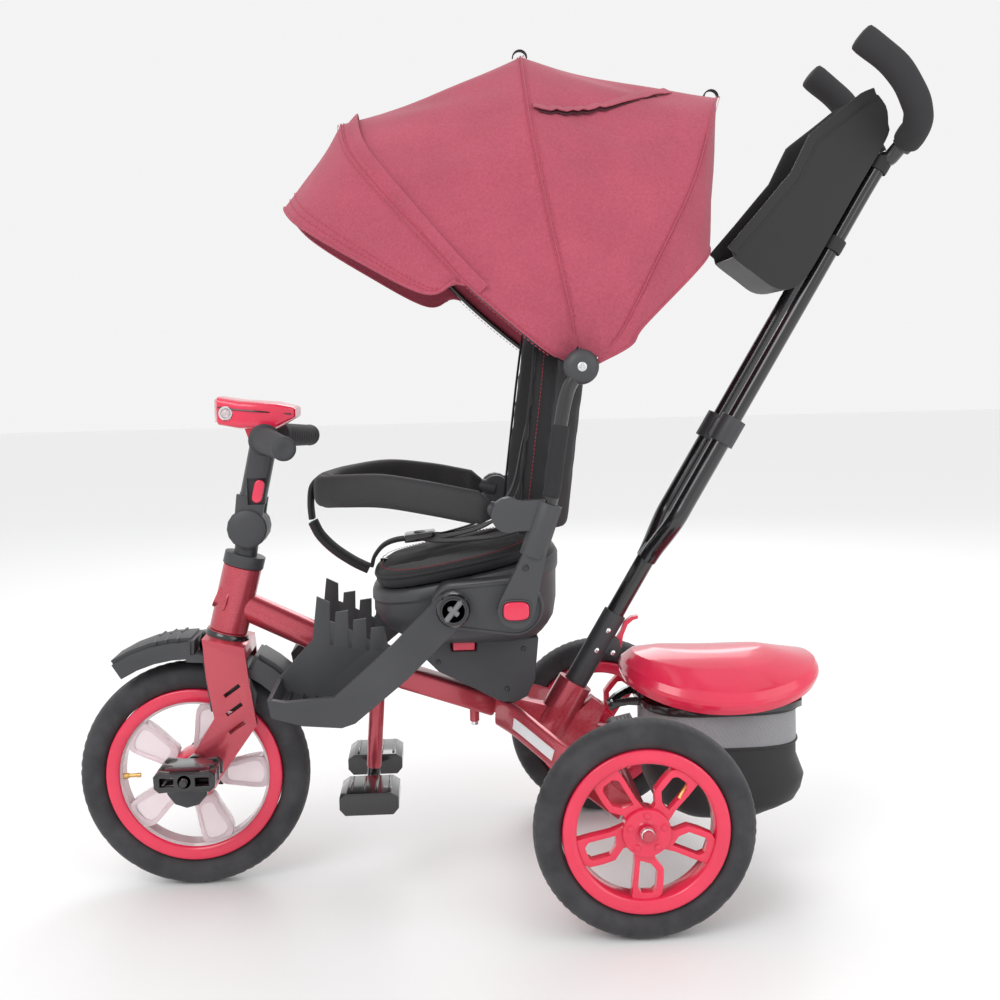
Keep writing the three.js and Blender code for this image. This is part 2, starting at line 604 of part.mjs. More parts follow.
// A padded back with wings that come forward at the sides.
function backrest() {
  const rearLine = (z) => -72 + 0.13 * (z - 459);
  const wing = (y) => THREE.MathUtils.smoothstep(Math.abs(y), 60, BACK_HALF_WIDTH);
  const rows = [470, 520, 620, 700, 742];
  const columns = [-146, -132, -100, -55, 0, 55, 100, 132, 146];
  const taper = (z) => 1 - 0.16 * THREE.MathUtils.smoothstep(z, 640, 742);
  const grid = (depth, curl) =>
    rows.map((z) => columns.map((y) => V(rearLine(z) - depth(y) - curl * wing(y), y * taper(z), z)));
  return sheet(grid(() => 30, 44), grid((y) => (Math.abs(y) > 140 ? 8 : 0), 34));
}

// The arm from the recline joint up to the post, with the clamp that carries the guard ring.
function backArm() {
  const arm = link(RECLINE_PIVOT, 22, [-121, 452], 13, -190, -POD_Y - 1, 14);
  const sleeve = rod(V(-123, -178, 452), V(-101, -178, 514), 16, 12);
  const ear = join(disc(GUARD_PIVOT, 21, -186, -168, 16),
    plate([[-150, 518], [-105, 520], [-105, 484], [-142, 483]], -186, -170));
  const pocket = link([-149, 389], 12, [-139, 389], 12, -195, -182, 12);
  const postBore = rod(V(-108, -178, 494), V(-97, -178, 525), POST_R + 1.6, 12);
  return cut(join(arm, sleeve, ear), pocket, postBore);
}

const reclineButton = () => link([-149, 389], 11, [-139, 389], 11, -194, -186.5, 12);

// The post from the clamp to the canopy's hub.
function canopyPost() {
  const route = [V(-106, -178, 500), V(-101, -178, 514), V(-97, -178, 532), V(-88, -177, 600),
    V(-78, -176, 645),
    V(-65, -178, 668)];
  const hub = disc(CANOPY_PIVOT, 21, -188, -HUB_Y, 14);
  return join(tube(route, POST_R, 7, 7), hub, disc(CANOPY_PIVOT, HOOP_PIN_R, -172, -142, 8));
}

// The padded ring round the child, with a round end at each pivot.
function guardBar() {
  const half = [V(-162, -154, 505), V(-200, -158, 513), V(-243, -152, 522), V(-300, -128, 530),
    V(-350, -82, 527)];
  const route = [...half, V(-381, 0, 522), ...half.map((p) => V(p.x, -p.y, p.z)).reverse()];
  const padding = band(route, 12, 28, { steps: 18, power: 4, count: 8 });
  const ends = [-1, 1].map((side) => disc(GUARD_PIVOT, 19, side < 0 ? -166 : 150, side < 0 ? -150 : 166, 14));
  return join(padding, ...ends);
}

add("backrest_cushion", backrest(), BLACK_FABRIC);
addPair("back_arm", backArm(), CHARCOAL);
addPair("recline_button", reclineButton(), GLOSS_RED);
addPair("canopy_post", canopyPost(), GLOSS_BLACK);
add("guard_bar", guardBar(), BLACK_FABRIC);

// ---------------------------------------------------------------- canopy

const HOOP_R = 3.5;

// Half of each hoop, from the hub on the left up to the middle.
const HOOPS = {
  front: {
    eye: -147,
    half: [[-76, 147, 682], [-109, 166, 702], [-189, 165, 772], [-268, 148, 858], [-324, 98, 930],
      [-338, 0, 982]],
  },
  middle: {
    eye: -156,
    half: [[-64, 156, 700], [-75, 168, 752], [-98, 158, 868], [-111, 118, 967], [-113, 0, 1061]],
  },
  rear: {
    eye: -165,
    half: [[-42, 165, 688], [-17, 169, 712], [23, 163, 785], [76, 138, 885], [111, 88, 975], [132, 0, 1007]],
  },
};
const HEM = [[-42, 168, 680], [-4, 171, 700], [12, 168, 722], [92, 118, 796], [108, 62, 822], [112, 0, 832]];
const VISOR_EDGE = [[-202, 166, 776], [-238, 154, 764], [-318, 128, 806], [-390, 90, 852], [-412, 0, 881]];

// A smooth curve from the left to the right through half of its points and their mirror image.
function arch(half) {
  const left = half.map(([x, y, z]) => V(x, -y, z));
  const right = half.slice(0, -1).map(([x, y, z]) => V(x, y, z));
  return new THREE.CatmullRomCurve3([...left, ...right.reverse()], false, "centripetal");
}

const hoopArch = ({ eye, half }) => arch([[CANOPY_PIVOT[0], -eye, CANOPY_PIVOT[1]], ...half]);

function hoop(shape) {
  const wire = tube(hoopArch(shape).points, HOOP_R, 5, 30);
  const ring = (side) => disc(CANOPY_PIVOT, 11, side * shape.eye - 2.5, side * shape.eye + 2.5, 10);
  const pinRoom = disc(CANOPY_PIVOT, HOOP_PIN_R + GAP, -176, 176, 8);
  return cut(join(wire, ring(-1), ring(1)), pinRoom);
}

// Cloth stretched between arches: rows are [arch, arch, share], drawn outside the hoops.
function cloth(rows, from, to, columns = 16) {
  const middle = V(-90, 0, 760);
  const grid = (lift) =>
    rows.map(([a, b, share]) =>
      [...Array(columns + 1).keys()].map((k) => {
        const t = from + ((to - from) * k) / columns;
        const p = a.getPoint(t).lerp(b.getPoint(t), share);
        return p.addScaledVector(p.clone().sub(middle).normalize(), lift);
      }));
  return sheet(grid(HOOP_R + 6.5), grid(HOOP_R + 4.5));
}

const arches = Object.fromEntries(Object.entries(HOOPS).map(([name, shape]) => [name, hoopArch(shape)]));
const hem = arch(HEM);

const frontCloth = () =>
  cloth([0.06, 0.5, 0.985].map((share) => [arches.front, arches.middle, share]), 0.09, 0.91);
const rearCloth = () =>
  cloth([
    ...[0.015, 0.5, 1].map((share) => [arches.middle, arches.rear, share]),
    [arches.rear, hem, 1],
  ], 0.12, 0.88, 20);

// The peak in front of the front hoop.
function visor() {
  const edge = arch(VISOR_EDGE);
  const seam = arch(HOOPS.front.half.slice(2));
  return cloth([0.07, 0.4, 0.7, 1].map((share) => [seam, edge, share]), 0.01, 0.99, 14);
}

for (const [name, shape] of Object.entries(HOOPS)) add("canopy_hoop_" + name, hoop(shape), GLOSS_BLACK);
add("canopy_cloth_front", frontCloth(), RED_FABRIC);
add("canopy_cloth_rear", rearCloth(), RED_FABRIC);
add("canopy_visor", visor(), RED_FABRIC);

// ---------------------------------------------------------------- folding foot pegs

const PEG_LUG = [-314, 289];

// The link clasps the beam from both sides and carries the peg's hinge below it.
function pegLink() {
  const upper = link(PEG_LUG, 20, PEG_PIVOT, 15, -31, 31, 14);
  const narrow = [block(-345, -295, 14, 32, 230, 262), block(-345, -295, -32, -14, 230, 262)];
  const slot = block(-345, -290, -9.5, 9.5, 225, 268);
  return cut(upper, mainTubeSkin(GAP), ...narrow, slot);
}

// The rod, the cross spindle and the pad on each side, folding as one.
function footPegs() {
  const foot = [-329, 136];
  const eye = disc(PEG_PIVOT, 12, -9, 9, 16);
  const rodBody = rod(at(PEG_PIVOT), at(foot), 9, 12);
  const spindle = disc(foot, 6, -110, 110, 10);
  const pad = (side) => {
    const [x, z] = foot;
    const [low, high] = side < 0 ? [-118, -46] : [46, 118];
    return plate([[x - 37, z - 6], [x - 30, z - 14], [x + 30, z - 14], [x + 37, z - 6], [x + 37, z + 8],
      [x + 28, z + 14], [x - 28, z + 14], [x - 37, z + 8]], low, high);
  };
  return join(eye, rodBody, spindle, pad(-1), pad(1));
}

add("peg_link", pegLink(), CHARCOAL);
add("foot_pegs", footPegs(), CHARCOAL);

// ---------------------------------------------------------------- push handle

const LOWER_TUBE_R = 12.5;
const UPPER_TUBE_R = 10;
const SLEEVE_TOP = 104;
const FORK_START = 200;
const CLAMP_LOW = 366;
const CLAMP_HIGH = 402;
const UPPER_LOW = 345;
const BAG_HALF_WIDTH = 58;

function handleSleeve() {
  const body = rod(onHandle(-62), onHandle(SLEEVE_TOP), SLEEVE_R, 14);
  const leverLug = plate([[-22, 318], [2, 312], [6, 296], [-2, 287], [-24, 296]], -9, 9);
  const leverRoom = block(-13, 20, -5.5, 5.5, 280, 330);
  const bore = rod(onHandle(40), onHandle(SLEEVE_TOP + 5), LOWER_TUBE_R + GAP, 12);
  return cut(join(body, cut(leverLug, leverRoom)), bore);
}

const HANDLE_SIDES = [-HANDLE_TUBE_Y, HANDLE_TUBE_Y];

// The lower tube spreads to two, which are bored for the upper tubes.
function lowerHandle() {
  const foot = rod(onHandle(42), onHandle(FORK_START + 6), LOWER_TUBE_R, 12);
  const tubes = HANDLE_SIDES.flatMap((y) => [
    rod(onHandle(FORK_START - 6, y / 10), onHandle(252, y), LOWER_TUBE_R, 12),
    rod(onHandle(246, y), onHandle(CLAMP_HIGH - 6, y), LOWER_TUBE_R, 12),
  ]);
  const bores = HANDLE_SIDES.map((y) => rod(onHandle(258, y), onHandle(CLAMP_HIGH, y),
    UPPER_TUBE_R + GAP, 12));
  return cut(join(foot, ...tubes), ...bores);
}

// Two rings joined by a bridge, round the tops of the lower tubes.
function handleClamp() {
  const rings = HANDLE_SIDES.map((y) => rod(onHandle(CLAMP_LOW, y), onHandle(CLAMP_HIGH, y), 17, 12));
  const bores = HANDLE_SIDES.map((y) =>
    rod(onHandle(CLAMP_LOW - 5, y), onHandle(CLAMP_HIGH + 5, y), LOWER_TUBE_R + GAP, 12));
  const bridge = band(HANDLE_SIDES.map((y) => onHandle((CLAMP_LOW + CLAMP_HIGH) / 2, y)), 7, 13,
    { steps: 1, power: 8, count: 8, up: handleAlong });
  return cut(join(...rings, bridge), ...bores);
}

const CURL = [[366, 62, 946], [369, 88, 962], [361, 104, 986], [336, 107, 1026], [293, 105, 1062]];

// Two upper tubes with a hidden cross brace; each turns outwards into its grip.
function upperHandle() {
  const straight = HANDLE_SIDES.map((y) => rod(onHandle(UPPER_LOW, y), onHandle(778, y), UPPER_TUBE_R, 12));
  const bends = HANDLE_SIDES.map((y) =>
    tube([onHandle(774, y), onHandle(792, y * 1.08), V(358, y * 1.35, 941)], UPPER_TUBE_R, 10, 3));
  const brace = rod(onHandle(700, -HANDLE_TUBE_Y), onHandle(700, HANDLE_TUBE_Y), 7, 8);
  return join(...straight, ...bends, brace);
}

const handleGrip = () => tube(CURL.map(([x, y, z]) => V(x, -y, z)), 18, 10, 9);

// The red lever that frees the handle from its sleeve.
function releaseLever() {
  const blade = [[-6, 302], [-2, 310], [6, 322], [10, 334], [20, 341], [29, 342], [29, 338], [22, 336],
    [15, 330], [9, 316], [6, 300]];
  return join(disc([0, 302], 7, -5, 5, 14), plate(blade, -5, 5));
}

// An open pouch along the front of the handle tubes.
function bag() {
  const rim = [[146, 814], [212, 889], [227, 906], [250, 952], [288, 980], [314, 1000], [328, 1005]];
  const outer = [[154, 801], [194, 768], [226, 766], [255, 803], [343, 950], [342, 987]];
  const room = [[153, 816], [161, 804], [196, 773], [223, 771], [251, 806], [338, 952], [337, 986],
    [325, 1004],
    [290, 1040], [200, 980], [119, 833]];
  const wall = 4;
  return cut(plate([...rim, ...outer.reverse()], -BAG_HALF_WIDTH, BAG_HALF_WIDTH),
    plate(room, wall - BAG_HALF_WIDTH, BAG_HALF_WIDTH - wall));
}

add("handle_sleeve", handleSleeve(), CHARCOAL);
add("lower_handle", lowerHandle(), GLOSS_BLACK);
add("handle_clamp", handleClamp(), CHARCOAL);
add("upper_handle", upperHandle(), GLOSS_BLACK);
addPair("handle_grip", handleGrip(), FOAM);
add("release_lever", releaseLever(), GLOSS_RED);
add("bag", bag(), BLACK_FABRIC);

// ---------------------------------------------------------------- basket

const basketRing = (xFront, xBack, halfWidth, z, power = 3.4) =>
  ringOf(V((xFront + xBack) / 2, 0, z), V((xBack - xFront) / 2, 0, 0), V(0, halfWidth, 0), power, 16);

// A deep cloth tub whose floor bulges rearwards.
function basket() {
  const outer = loft([basketRing(72, 194, 74, 84), basketRing(43, 232, 88, 102), basketRing(34, 244, 93, 132),
    basketRing(33, 233, 93, 160), basketRing(32, 232, 92, 238)]);
  const room = loft([basketRing(75, 191, 71, 88), basketRing(47, 228, 84, 105), basketRing(38, 240, 89, 133),
    basketRing(37, 229, 89, 160), basketRing(36, 228, 88, 245)]);
  return cut(outer, room);
}

const LID_PIVOT = [27, 262];
const LID_PIN_R = 2.5;

// The wire frame that the basket hangs in, carried on two bars from the handle's bracket.
function basketRail() {
  const ring = cut(
    loft([basketRing(22, 242, 102, 230), basketRing(22, 242, 102, 238)]),
    loft([basketRing(33 - 1.5, 233.5, 94, 225), basketRing(33 - 1.5, 233.5, 94, 245)]),
  );
  const bars = [-1, 1].map((side) =>
    band([V(-10, side * 9, 220), V(6, side * 20, 230), V(26, side * 34, 233)],
      4, 5, { steps: 3, power: 6, count: 8 }));
  const tie = rod(V(-6, -12, 223), V(-6, 12, 223), 3.5, 8);
  const ears = [-1, 1].map((side) => block(23, 31, side < 0 ? -36 : 30, side < 0 ? -30 : 36, 233, 267));
  const pinRoom = disc(LID_PIVOT, LID_PIN_R + GAP, -40, 40, 8);
  return cut(join(ring, ...bars, ...ears, tie), pinRoom);
}

// The lid's edge dips in the middle of its length and rises to both ends.
function lidRing(xFront, xBack, halfWidth, z, bow = 1) {
  const lift = (x) => bow * 0.0016 * (x - 133) ** 2;
  return basketRing(xFront, xBack, halfWidth, z, 2.5).map((p) => V(p.x, p.y, p.z + lift(p.x)));
}

// A hollow faceted lid that closes over the basket's frame, with two knuckles for its hinge pins.
function basketLid() {
  const outer = loft([lidRing(8, 262, 109, 231), lidRing(4, 267, 113, 243), lidRing(8, 262, 107, 258),
    lidRing(22, 226, 66, 281, 0.7), lidRing(50, 196, 32, 294, 0.5)]);
  const room = loft([lidRing(12, 258, 105, 226), lidRing(8, 263, 109, 243), lidRing(12, 258, 103, 255),
    lidRing(26, 222, 63, 277, 0.7), lidRing(54, 192, 30, 290, 0.5)]);
  const knuckles = [-1, 1].flatMap((side) => [
    side < 0 ? block(22, 32, -29, -20, 257, 292) : block(22, 32, 20, 29, 257, 292),
    rod(at(LID_PIVOT, side * 28), at(LID_PIVOT, side * 38), LID_PIN_R, 8),
  ]);
  return join(cut(outer, room), ...knuckles);
}

add("basket", basket(), BLACK_FABRIC);
add("basket_rail", basketRail(), GLOSS_BLACK);
add("basket_lid", basketLid(), GLOSS_RED);

// ---------------------------------------------------------------- origin

const bounds = new THREE.Box3().setFromObject(tricycle, true);
const middle = bounds.getCenter(new THREE.Vector3());
tricycle.position.set(-middle.x, -middle.y, -bounds.min.z);

const part = new THREE.Group();
part.add(tricycle);

export default part;
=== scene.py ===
# A child's push-along tricycle, put together from the front fork back to the basket and up to the canopy.
import math

import bmesh
import bpy
from mathutils import Matrix, Vector


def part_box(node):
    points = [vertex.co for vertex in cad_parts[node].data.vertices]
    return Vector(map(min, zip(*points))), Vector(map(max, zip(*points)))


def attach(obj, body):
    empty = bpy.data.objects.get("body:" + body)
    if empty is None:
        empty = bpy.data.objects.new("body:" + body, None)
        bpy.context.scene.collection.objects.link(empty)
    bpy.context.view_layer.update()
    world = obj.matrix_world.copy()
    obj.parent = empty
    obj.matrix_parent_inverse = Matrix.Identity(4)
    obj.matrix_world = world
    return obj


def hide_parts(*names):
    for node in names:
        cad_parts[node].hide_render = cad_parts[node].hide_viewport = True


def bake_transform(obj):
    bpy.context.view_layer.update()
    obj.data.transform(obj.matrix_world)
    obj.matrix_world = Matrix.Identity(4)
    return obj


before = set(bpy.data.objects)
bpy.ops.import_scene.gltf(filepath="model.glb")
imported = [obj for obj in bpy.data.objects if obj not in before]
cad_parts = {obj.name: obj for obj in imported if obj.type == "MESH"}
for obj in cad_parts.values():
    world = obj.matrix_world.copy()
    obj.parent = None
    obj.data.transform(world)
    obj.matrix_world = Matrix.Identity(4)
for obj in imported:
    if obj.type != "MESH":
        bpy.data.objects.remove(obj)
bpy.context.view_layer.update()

scene = bpy.context.scene

# ------------------------------------------------------------------ camera, light and floor
# The tricycle is seen from its left side, a little above the seat. Every place below is given in
# millimetres from the point on the ground under the middle of the rear axle.
axle_low, axle_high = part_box("rear_axle")
AXLE_X = (axle_low.x + axle_high.x) / 2


def spot(x, y, z):
    return Vector((AXLE_X + x / 1000, y / 1000, z / 1000))


CAMERA_YAW = math.radians(2.65)
CAMERA_DIP = math.radians(5.951)
CAMERA_ROLL = math.radians(-1.29)
forward = Vector((math.sin(CAMERA_YAW) * math.cos(CAMERA_DIP), math.cos(CAMERA_YAW) * math.cos(CAMERA_DIP),
                  -math.sin(CAMERA_DIP)))
level_right = Vector((math.cos(CAMERA_YAW), -math.sin(CAMERA_YAW), 0))
level_up = level_right.cross(forward)
right = level_right * math.cos(CAMERA_ROLL) + level_up * math.sin(CAMERA_ROLL)
up = level_up * math.cos(CAMERA_ROLL) - level_right * math.sin(CAMERA_ROLL)
lens = bpy.data.cameras.new("camera")
lens.sensor_width = 36
lens.lens = 46.48
lens.clip_end = 50
camera = bpy.data.objects.new("camera", lens)
turn = Matrix((right, up, -forward)).transposed()
camera.matrix_world = Matrix.Translation(spot(-229.6, -1689.3, 677.6)) @ turn.to_4x4()
scene.collection.objects.link(camera)
scene.camera = camera
scene.view_settings.view_transform = "Standard"

scene.world = bpy.data.worlds.new("studio")
scene.world.use_nodes = True
scene.world.node_tree.nodes["Background"].inputs["Color"].default_value = (1, 1, 1, 1)
scene.world.node_tree.nodes["Background"].inputs["Strength"].default_value = 0.9


def soft_light(name, place, size, power):
    lamp = bpy.data.lights.new(name, "AREA")
    lamp.size = size
    lamp.energy = power
    holder = bpy.data.objects.new(name, lamp)
    aim = (spot(-150, 0, 450) - place).to_track_quat("-Z", "Y")
    holder.matrix_world = Matrix.Translation(place) @ aim.to_matrix().to_4x4()
    scene.collection.objects.link(holder)


soft_light("key_light", Vector((-1.6, -2.4, 2.6)), 1.8, 40)
soft_light("fill_light", Vector((2.2, -2.0, 1.5)), 2.0, 16)
soft_light("back_light", Vector((0.4, 2.6, 2.2)), 1.6, 24)

floor_mesh = bmesh.new()
bmesh.ops.create_grid(floor_mesh, x_segments=1, y_segments=1, size=14)
floor_data = bpy.data.meshes.new("floor")
floor_mesh.to_mesh(floor_data)
floor_mesh.free()
floor = bpy.data.objects.new("floor", floor_data)
scene.collection.objects.link(floor)
floor_paint = bpy.data.materials.new("floor")
floor_paint.use_nodes = True
floor_paint.node_tree.nodes["Principled BSDF"].inputs["Base Color"].default_value = (0.93, 0.93, 0.93, 1)
floor_paint.node_tree.nodes["Principled BSDF"].inputs["Roughness"].default_value = 0.45
floor_data.materials.append(floor_paint)

# ------------------------------------------------------------------ head tube, main tube and rear yoke
# Welded steel tube in a raspberry metallic lacquer: a fine bright flake under a clear gloss coat. The
# main tube is round at the head tube and turns into a flat-sided beam under the seat.


def finish_of(name, colour, roughness, metallic=0.0):
    made = bpy.data.materials.new(name)
    made.use_nodes = True
    shader = made.node_tree.nodes["Principled BSDF"]
    shader.inputs["Base Color"].default_value = (*colour, 1)
    shader.inputs["Roughness"].default_value = roughness
    shader.inputs["Metallic"].default_value = metallic
    return made


def noise_on(material, scale, detail=3, stretch=(1, 1, 1), distortion=0.0):
    """A noise that is fixed to the object, in metres; stretch squeezes it along an axis."""
    nodes, links = material.node_tree.nodes, material.node_tree.links
    place = nodes.new("ShaderNodeTexCoord")
    squeeze = nodes.new("ShaderNodeMapping")
    squeeze.inputs["Scale"].default_value = stretch
    noise = nodes.new("ShaderNodeTexNoise")
    noise.inputs["Scale"].default_value = scale
    noise.inputs["Detail"].default_value = detail
    noise.inputs["Distortion"].default_value = distortion
    links.new(place.outputs["Object"], squeeze.inputs["Vector"])
    links.new(squeeze.outputs["Vector"], noise.inputs["Vector"])
    return noise.outputs["Fac"]


def coloured(material, pattern, stops):
    """The base colour runs through stops of (position, colour) with the pattern."""
    nodes, links = material.node_tree.nodes, material.node_tree.links
    ramp = nodes.new("ShaderNodeValToRGB")
    while len(ramp.color_ramp.elements) < len(stops):
        ramp.color_ramp.elements.new(0.5)
    for element, (position, colour) in zip(ramp.color_ramp.elements, stops):
        element.position = position
        element.color = (*colour, 1)
    links.new(pattern, ramp.inputs["Fac"])
    links.new(ramp.outputs["Color"], nodes["Principled BSDF"].inputs["Base Color"])
    return ramp.outputs["Color"]


def roughened(material, pattern, low, high):
    nodes, links = material.node_tree.nodes, material.node_tree.links
    spread = nodes.new("ShaderNodeMapRange")
    spread.inputs["To Min"].default_value = low
    spread.inputs["To Max"].default_value = high
    links.new(pattern, spread.inputs["Value"])
    links.new(spread.outputs["Result"], nodes["Principled BSDF"].inputs["Roughness"])


def bumped(material, pattern, strength, depth_mm):
    """Adds a bump on top of any the material already has."""
    nodes, links = material.node_tree.nodes, material.node_tree.links
    bump = nodes.new("ShaderNodeBump")
    bump.inputs["Strength"].default_value = strength
    bump.inputs["Distance"].default_value = depth_mm / 1000
    before = nodes["Principled BSDF"].inputs["Normal"]
    if before.is_linked:
        links.new(before.links[0].from_socket, bump.inputs["Normal"])
    links.new(pattern, bump.inputs["Height"])
    links.new(bump.outputs["Normal"], nodes["Principled BSDF"].inputs["Normal"])


def glazed(material, coat, roughness=0.08):
    shader = material.node_tree.nodes["Principled BSDF"]
    shader.inputs["Coat Weight"].default_value = coat
    shader.inputs["Coat Roughness"].default_value = roughness


raspberry = finish_of("raspberry lacquer", (0.50, 0.045, 0.075), 0.36, 0.55)
coloured(raspberry, noise_on(raspberry, 1500, 2),
         [(0.38, (0.40, 0.035, 0.058)), (0.62, (0.62, 0.085, 0.115))])
bumped(raspberry, noise_on(raspberry, 24, 3), 0.05, 0.6)
glazed(raspberry, 0.7)


def ease_edges(mesh, width_mm, segments=3, angle=32):
    """Rounds every edge that is sharper than angle."""
    sharp = [e for e in mesh.edges if e.is_manifold and e.calc_face_angle() > math.radians(angle)]
    if sharp:
        bmesh.ops.bevel(mesh, geom=sharp, offset=width_mm / 1000, segments=segments, profile=0.5,
                        affect="EDGES", clamp_overlap=True, material=-1)


def finished(name, mesh, material, body, slot, *nodes, crease=38):
    """Turns a bmesh into a piece that rides on a body, if one is given, and stands for CAD nodes."""
    bmesh.ops.remove_doubles(mesh, verts=mesh.verts, dist=1e-6)
    bmesh.ops.recalc_face_normals(mesh, faces=mesh.faces)
    data = bpy.data.meshes.new(name)
    mesh.to_mesh(data)
    mesh.free()
    data.shade_smooth()
    data.set_sharp_from_angle(angle=math.radians(crease))
    made = bpy.data.objects.new(name, data)
    scene.collection.objects.link(made)
    data.materials.append(material)
    if body:
        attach(made, body)
    if nodes:
        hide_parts(*nodes)
    return made


def eased_copy(node, name, material, body, slot, width_mm=1.2, angle=32, segments=3, crease=38):
    """The CAD node's own shape with its flats joined up and its edges rounded."""
    mesh = bmesh.new()
    mesh.from_mesh(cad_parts[node].data)
    bmesh.ops.remove_doubles(mesh, verts=mesh.verts, dist=2e-5)
    bmesh.ops.dissolve_limit(mesh, angle_limit=math.radians(1.2), verts=mesh.verts, edges=mesh.edges)
    ease_edges(mesh, width_mm, segments, angle)
    return finished(name, mesh, material, body, slot, node, crease=crease)


def flowing(points, steps):
    """Points along a smooth curve through the given ones, which are in millimetres."""
    known = [Vector(p) for p in points]
    ends = [2 * known[0] - known[1]] + known + [2 * known[-1] - known[-2]]
    smooth = []
    for i in range(1, len(ends) - 2):
        a, b, c, d = ends[i - 1:i + 3]
        for k in range(steps):
            t = k / steps
            smooth.append(0.5 * (2 * b + (c - a) * t + (2 * a - 5 * b + 4 * c - d) * t ** 2
                                 + (3 * b - a - 3 * c + d) * t ** 3))
    return smooth + [known[-1]]


def skinned(mesh, rings, capped=True):
    """A skin bridged from ring to ring; the rings are lists of places in metres."""
    loops = []
    for ring in rings:
        corners = [mesh.verts.new(p) for p in ring]
        loops.append([mesh.edges.new((corners[i - 1], corners[i])) for i in range(len(corners))])
    for lower, upper in zip(loops, loops[1:]):
        bmesh.ops.bridge_loops(mesh, edges=lower + upper)
    if capped:
        for loop in (loops[0], loops[-1]):
            bmesh.ops.contextual_create(mesh, geom=loop)


def piped(mesh, path, radius, sides=20, capped=True):
    """A round bar or tube along a path in millimetres; radius may be a list with one for each point."""
    radii = radius if isinstance(radius, list) else [radius] * len(path)
    path = [Vector(p) for p in path]
    side = None
    rings = []
    for i, point in enumerate(path):
        along = (path[min(i + 1, len(path) - 1)] - path[max(i - 1, 0)]).normalized()
        if side is None:
            side = along.orthogonal().normalized()
        side = (side - along * side.dot(along)).normalized()
        across = along.cross(side)
        rings.append([spot(*(point + radii[i] * (side * math.cos(2 * math.pi * k / sides)
                                                 + across * math.sin(2 * math.pi * k / sides))))
                      for k in range(sides)])
    skinned(mesh, rings, capped)


def on_steering(s, y=0.0, lean=math.radians(14.8)):
    return Vector((-563 + s * math.sin(lean), y, 150 + s * math.cos(lean)))


tube = bmesh.new()
piped(tube, [on_steering(s) for s in (196, 197.2, 282.8, 284)], [23.6, 25, 25, 23.6], 48)
weld = [Vector((-522, 27 * math.sin(a) * 0.92, 381 + 22 * math.cos(a))) + Vector((7 * math.cos(a) + 11, 0, 0))
        for a in [2 * math.pi * k / 40 for k in range(41)]]
piped(tube, weld, [1.9 + 0.35 * math.sin(k * 2.4) for k in range(41)], 10, capped=False)
finished("head_tube_shell", tube, raspberry, "frame", "frame_paint", "head_tube")

beam = bmesh.new()
stations = [(-524, 389, 19, 19, 2), (-481, 367, 19, 19, 2), (-398, 326, 19, 19, 2.2),
            (-340, 297, 20.5, 17, 3.2),
            (-283, 270, 22, 15, 6), (-166, 229.6, 22, 15, 6), (-164, 229, 20.5, 13.5, 5)]
rings = []
for i, (x, z, wide, tall, power) in enumerate(stations):
    near, far = stations[max(i - 1, 0)], stations[min(i + 1, len(stations) - 1)]
    slope = Vector((far[0] - near[0], 0, far[1] - near[1])).normalized()
    lift = Vector((-slope.z, 0, slope.x))
    ring = []
    for k in range(48):
        c, s = math.cos(2 * math.pi * k / 48), math.sin(2 * math.pi * k / 48)
        across = math.copysign(abs(c) ** (2 / power), c) * wide
        rise = math.copysign(abs(s) ** (2 / power), s) * tall
        ring.append(spot(*(Vector((x, across, z)) + lift * rise)))
    rings.append(ring)
skinned(beam, rings)
finished("main_tube_shell", beam, raspberry, "frame", "frame_paint", "main_tube", crease=50)

for side, word in ((-1, "left"), (1, "right")):
    arm = bmesh.new()
    route = flowing([(-160, 31 * side, 226), (-135, 76 * side, 219), (-84, 146 * side, 190),
                     (-40, 170 * side, 160), (-14, 178 * side, 142)], 7)
    rings = []
    for i, point in enumerate(route):
        along = (route[min(i + 1, len(route) - 1)] - route[max(i - 1, 0)]).normalized()
        across = along.cross(Vector((0, 0, 1))).normalized()
        lift = across.cross(along).normalized()
        rings.append([spot(*(point + across * math.copysign(abs(math.cos(a)) ** 0.4, math.cos(a)) * 6
                             + lift * math.copysign(abs(math.sin(a)) ** 0.4, math.sin(a)) * 19))
                      for a in [2 * math.pi * (k + 0.5) / 32 for k in range(32)]])
    skinned(arm, rings)
    finished("yoke_arm_" + word, arm, raspberry, "frame", "frame_paint", "rear_yoke_" + word, crease=50)

eased_copy("handle_socket", "handle_bracket", raspberry, "frame", "frame_paint", 1.4)

# ------------------------------------------------------------------ reflectors on the yoke
# A white self-adhesive reflector strip on the outer face of each yoke arm, with a fine cell pattern.
reflector_white = finish_of("white reflector", (0.82, 0.82, 0.84), 0.25)
cells = reflector_white.node_tree.nodes.new("ShaderNodeTexVoronoi")
cells.inputs["Scale"].default_value = 600
cell_place = reflector_white.node_tree.nodes.new("ShaderNodeTexCoord")
reflector_white.node_tree.links.new(cell_place.outputs["Object"], cells.inputs["Vector"])
bumped(reflector_white, cells.outputs["Distance"], 0.4, 0.3)
glazed(reflector_white, 0.5)
for side, word in ((-1, "left"), (1, "right")):
    arm = flowing([(-160, side * 31, 226), (-135, side * 76, 219), (-84, side * 146, 190),
                   (-40, side * 170, 160)], 10)
    strip = bmesh.new()
    edges = []
    for before, p, after in zip(arm[8:], arm[9:19], arm[10:]):
        along = (after - before).normalized()
        outward = along.cross(Vector((0, 0, 1))).normalized() * -side
        upward = (Vector((0, 0, 1)) - along * along.z).normalized()
        edges.append([strip.verts.new(spot(*(p + outward * 6.9 + upward * h))) for h in (-7.5, 7.5)])
    for (a, b), (c, d) in zip(edges, edges[1:]):
        strip.faces.new([a, b, d, c])
    bmesh.ops.recalc_face_normals(strip, faces=strip.faces)
    bmesh.ops.solidify(strip, geom=strip.faces[:], thickness=0.0008)
    finished("reflector_" + word, strip, reflector_white, "frame", "frame_paint")

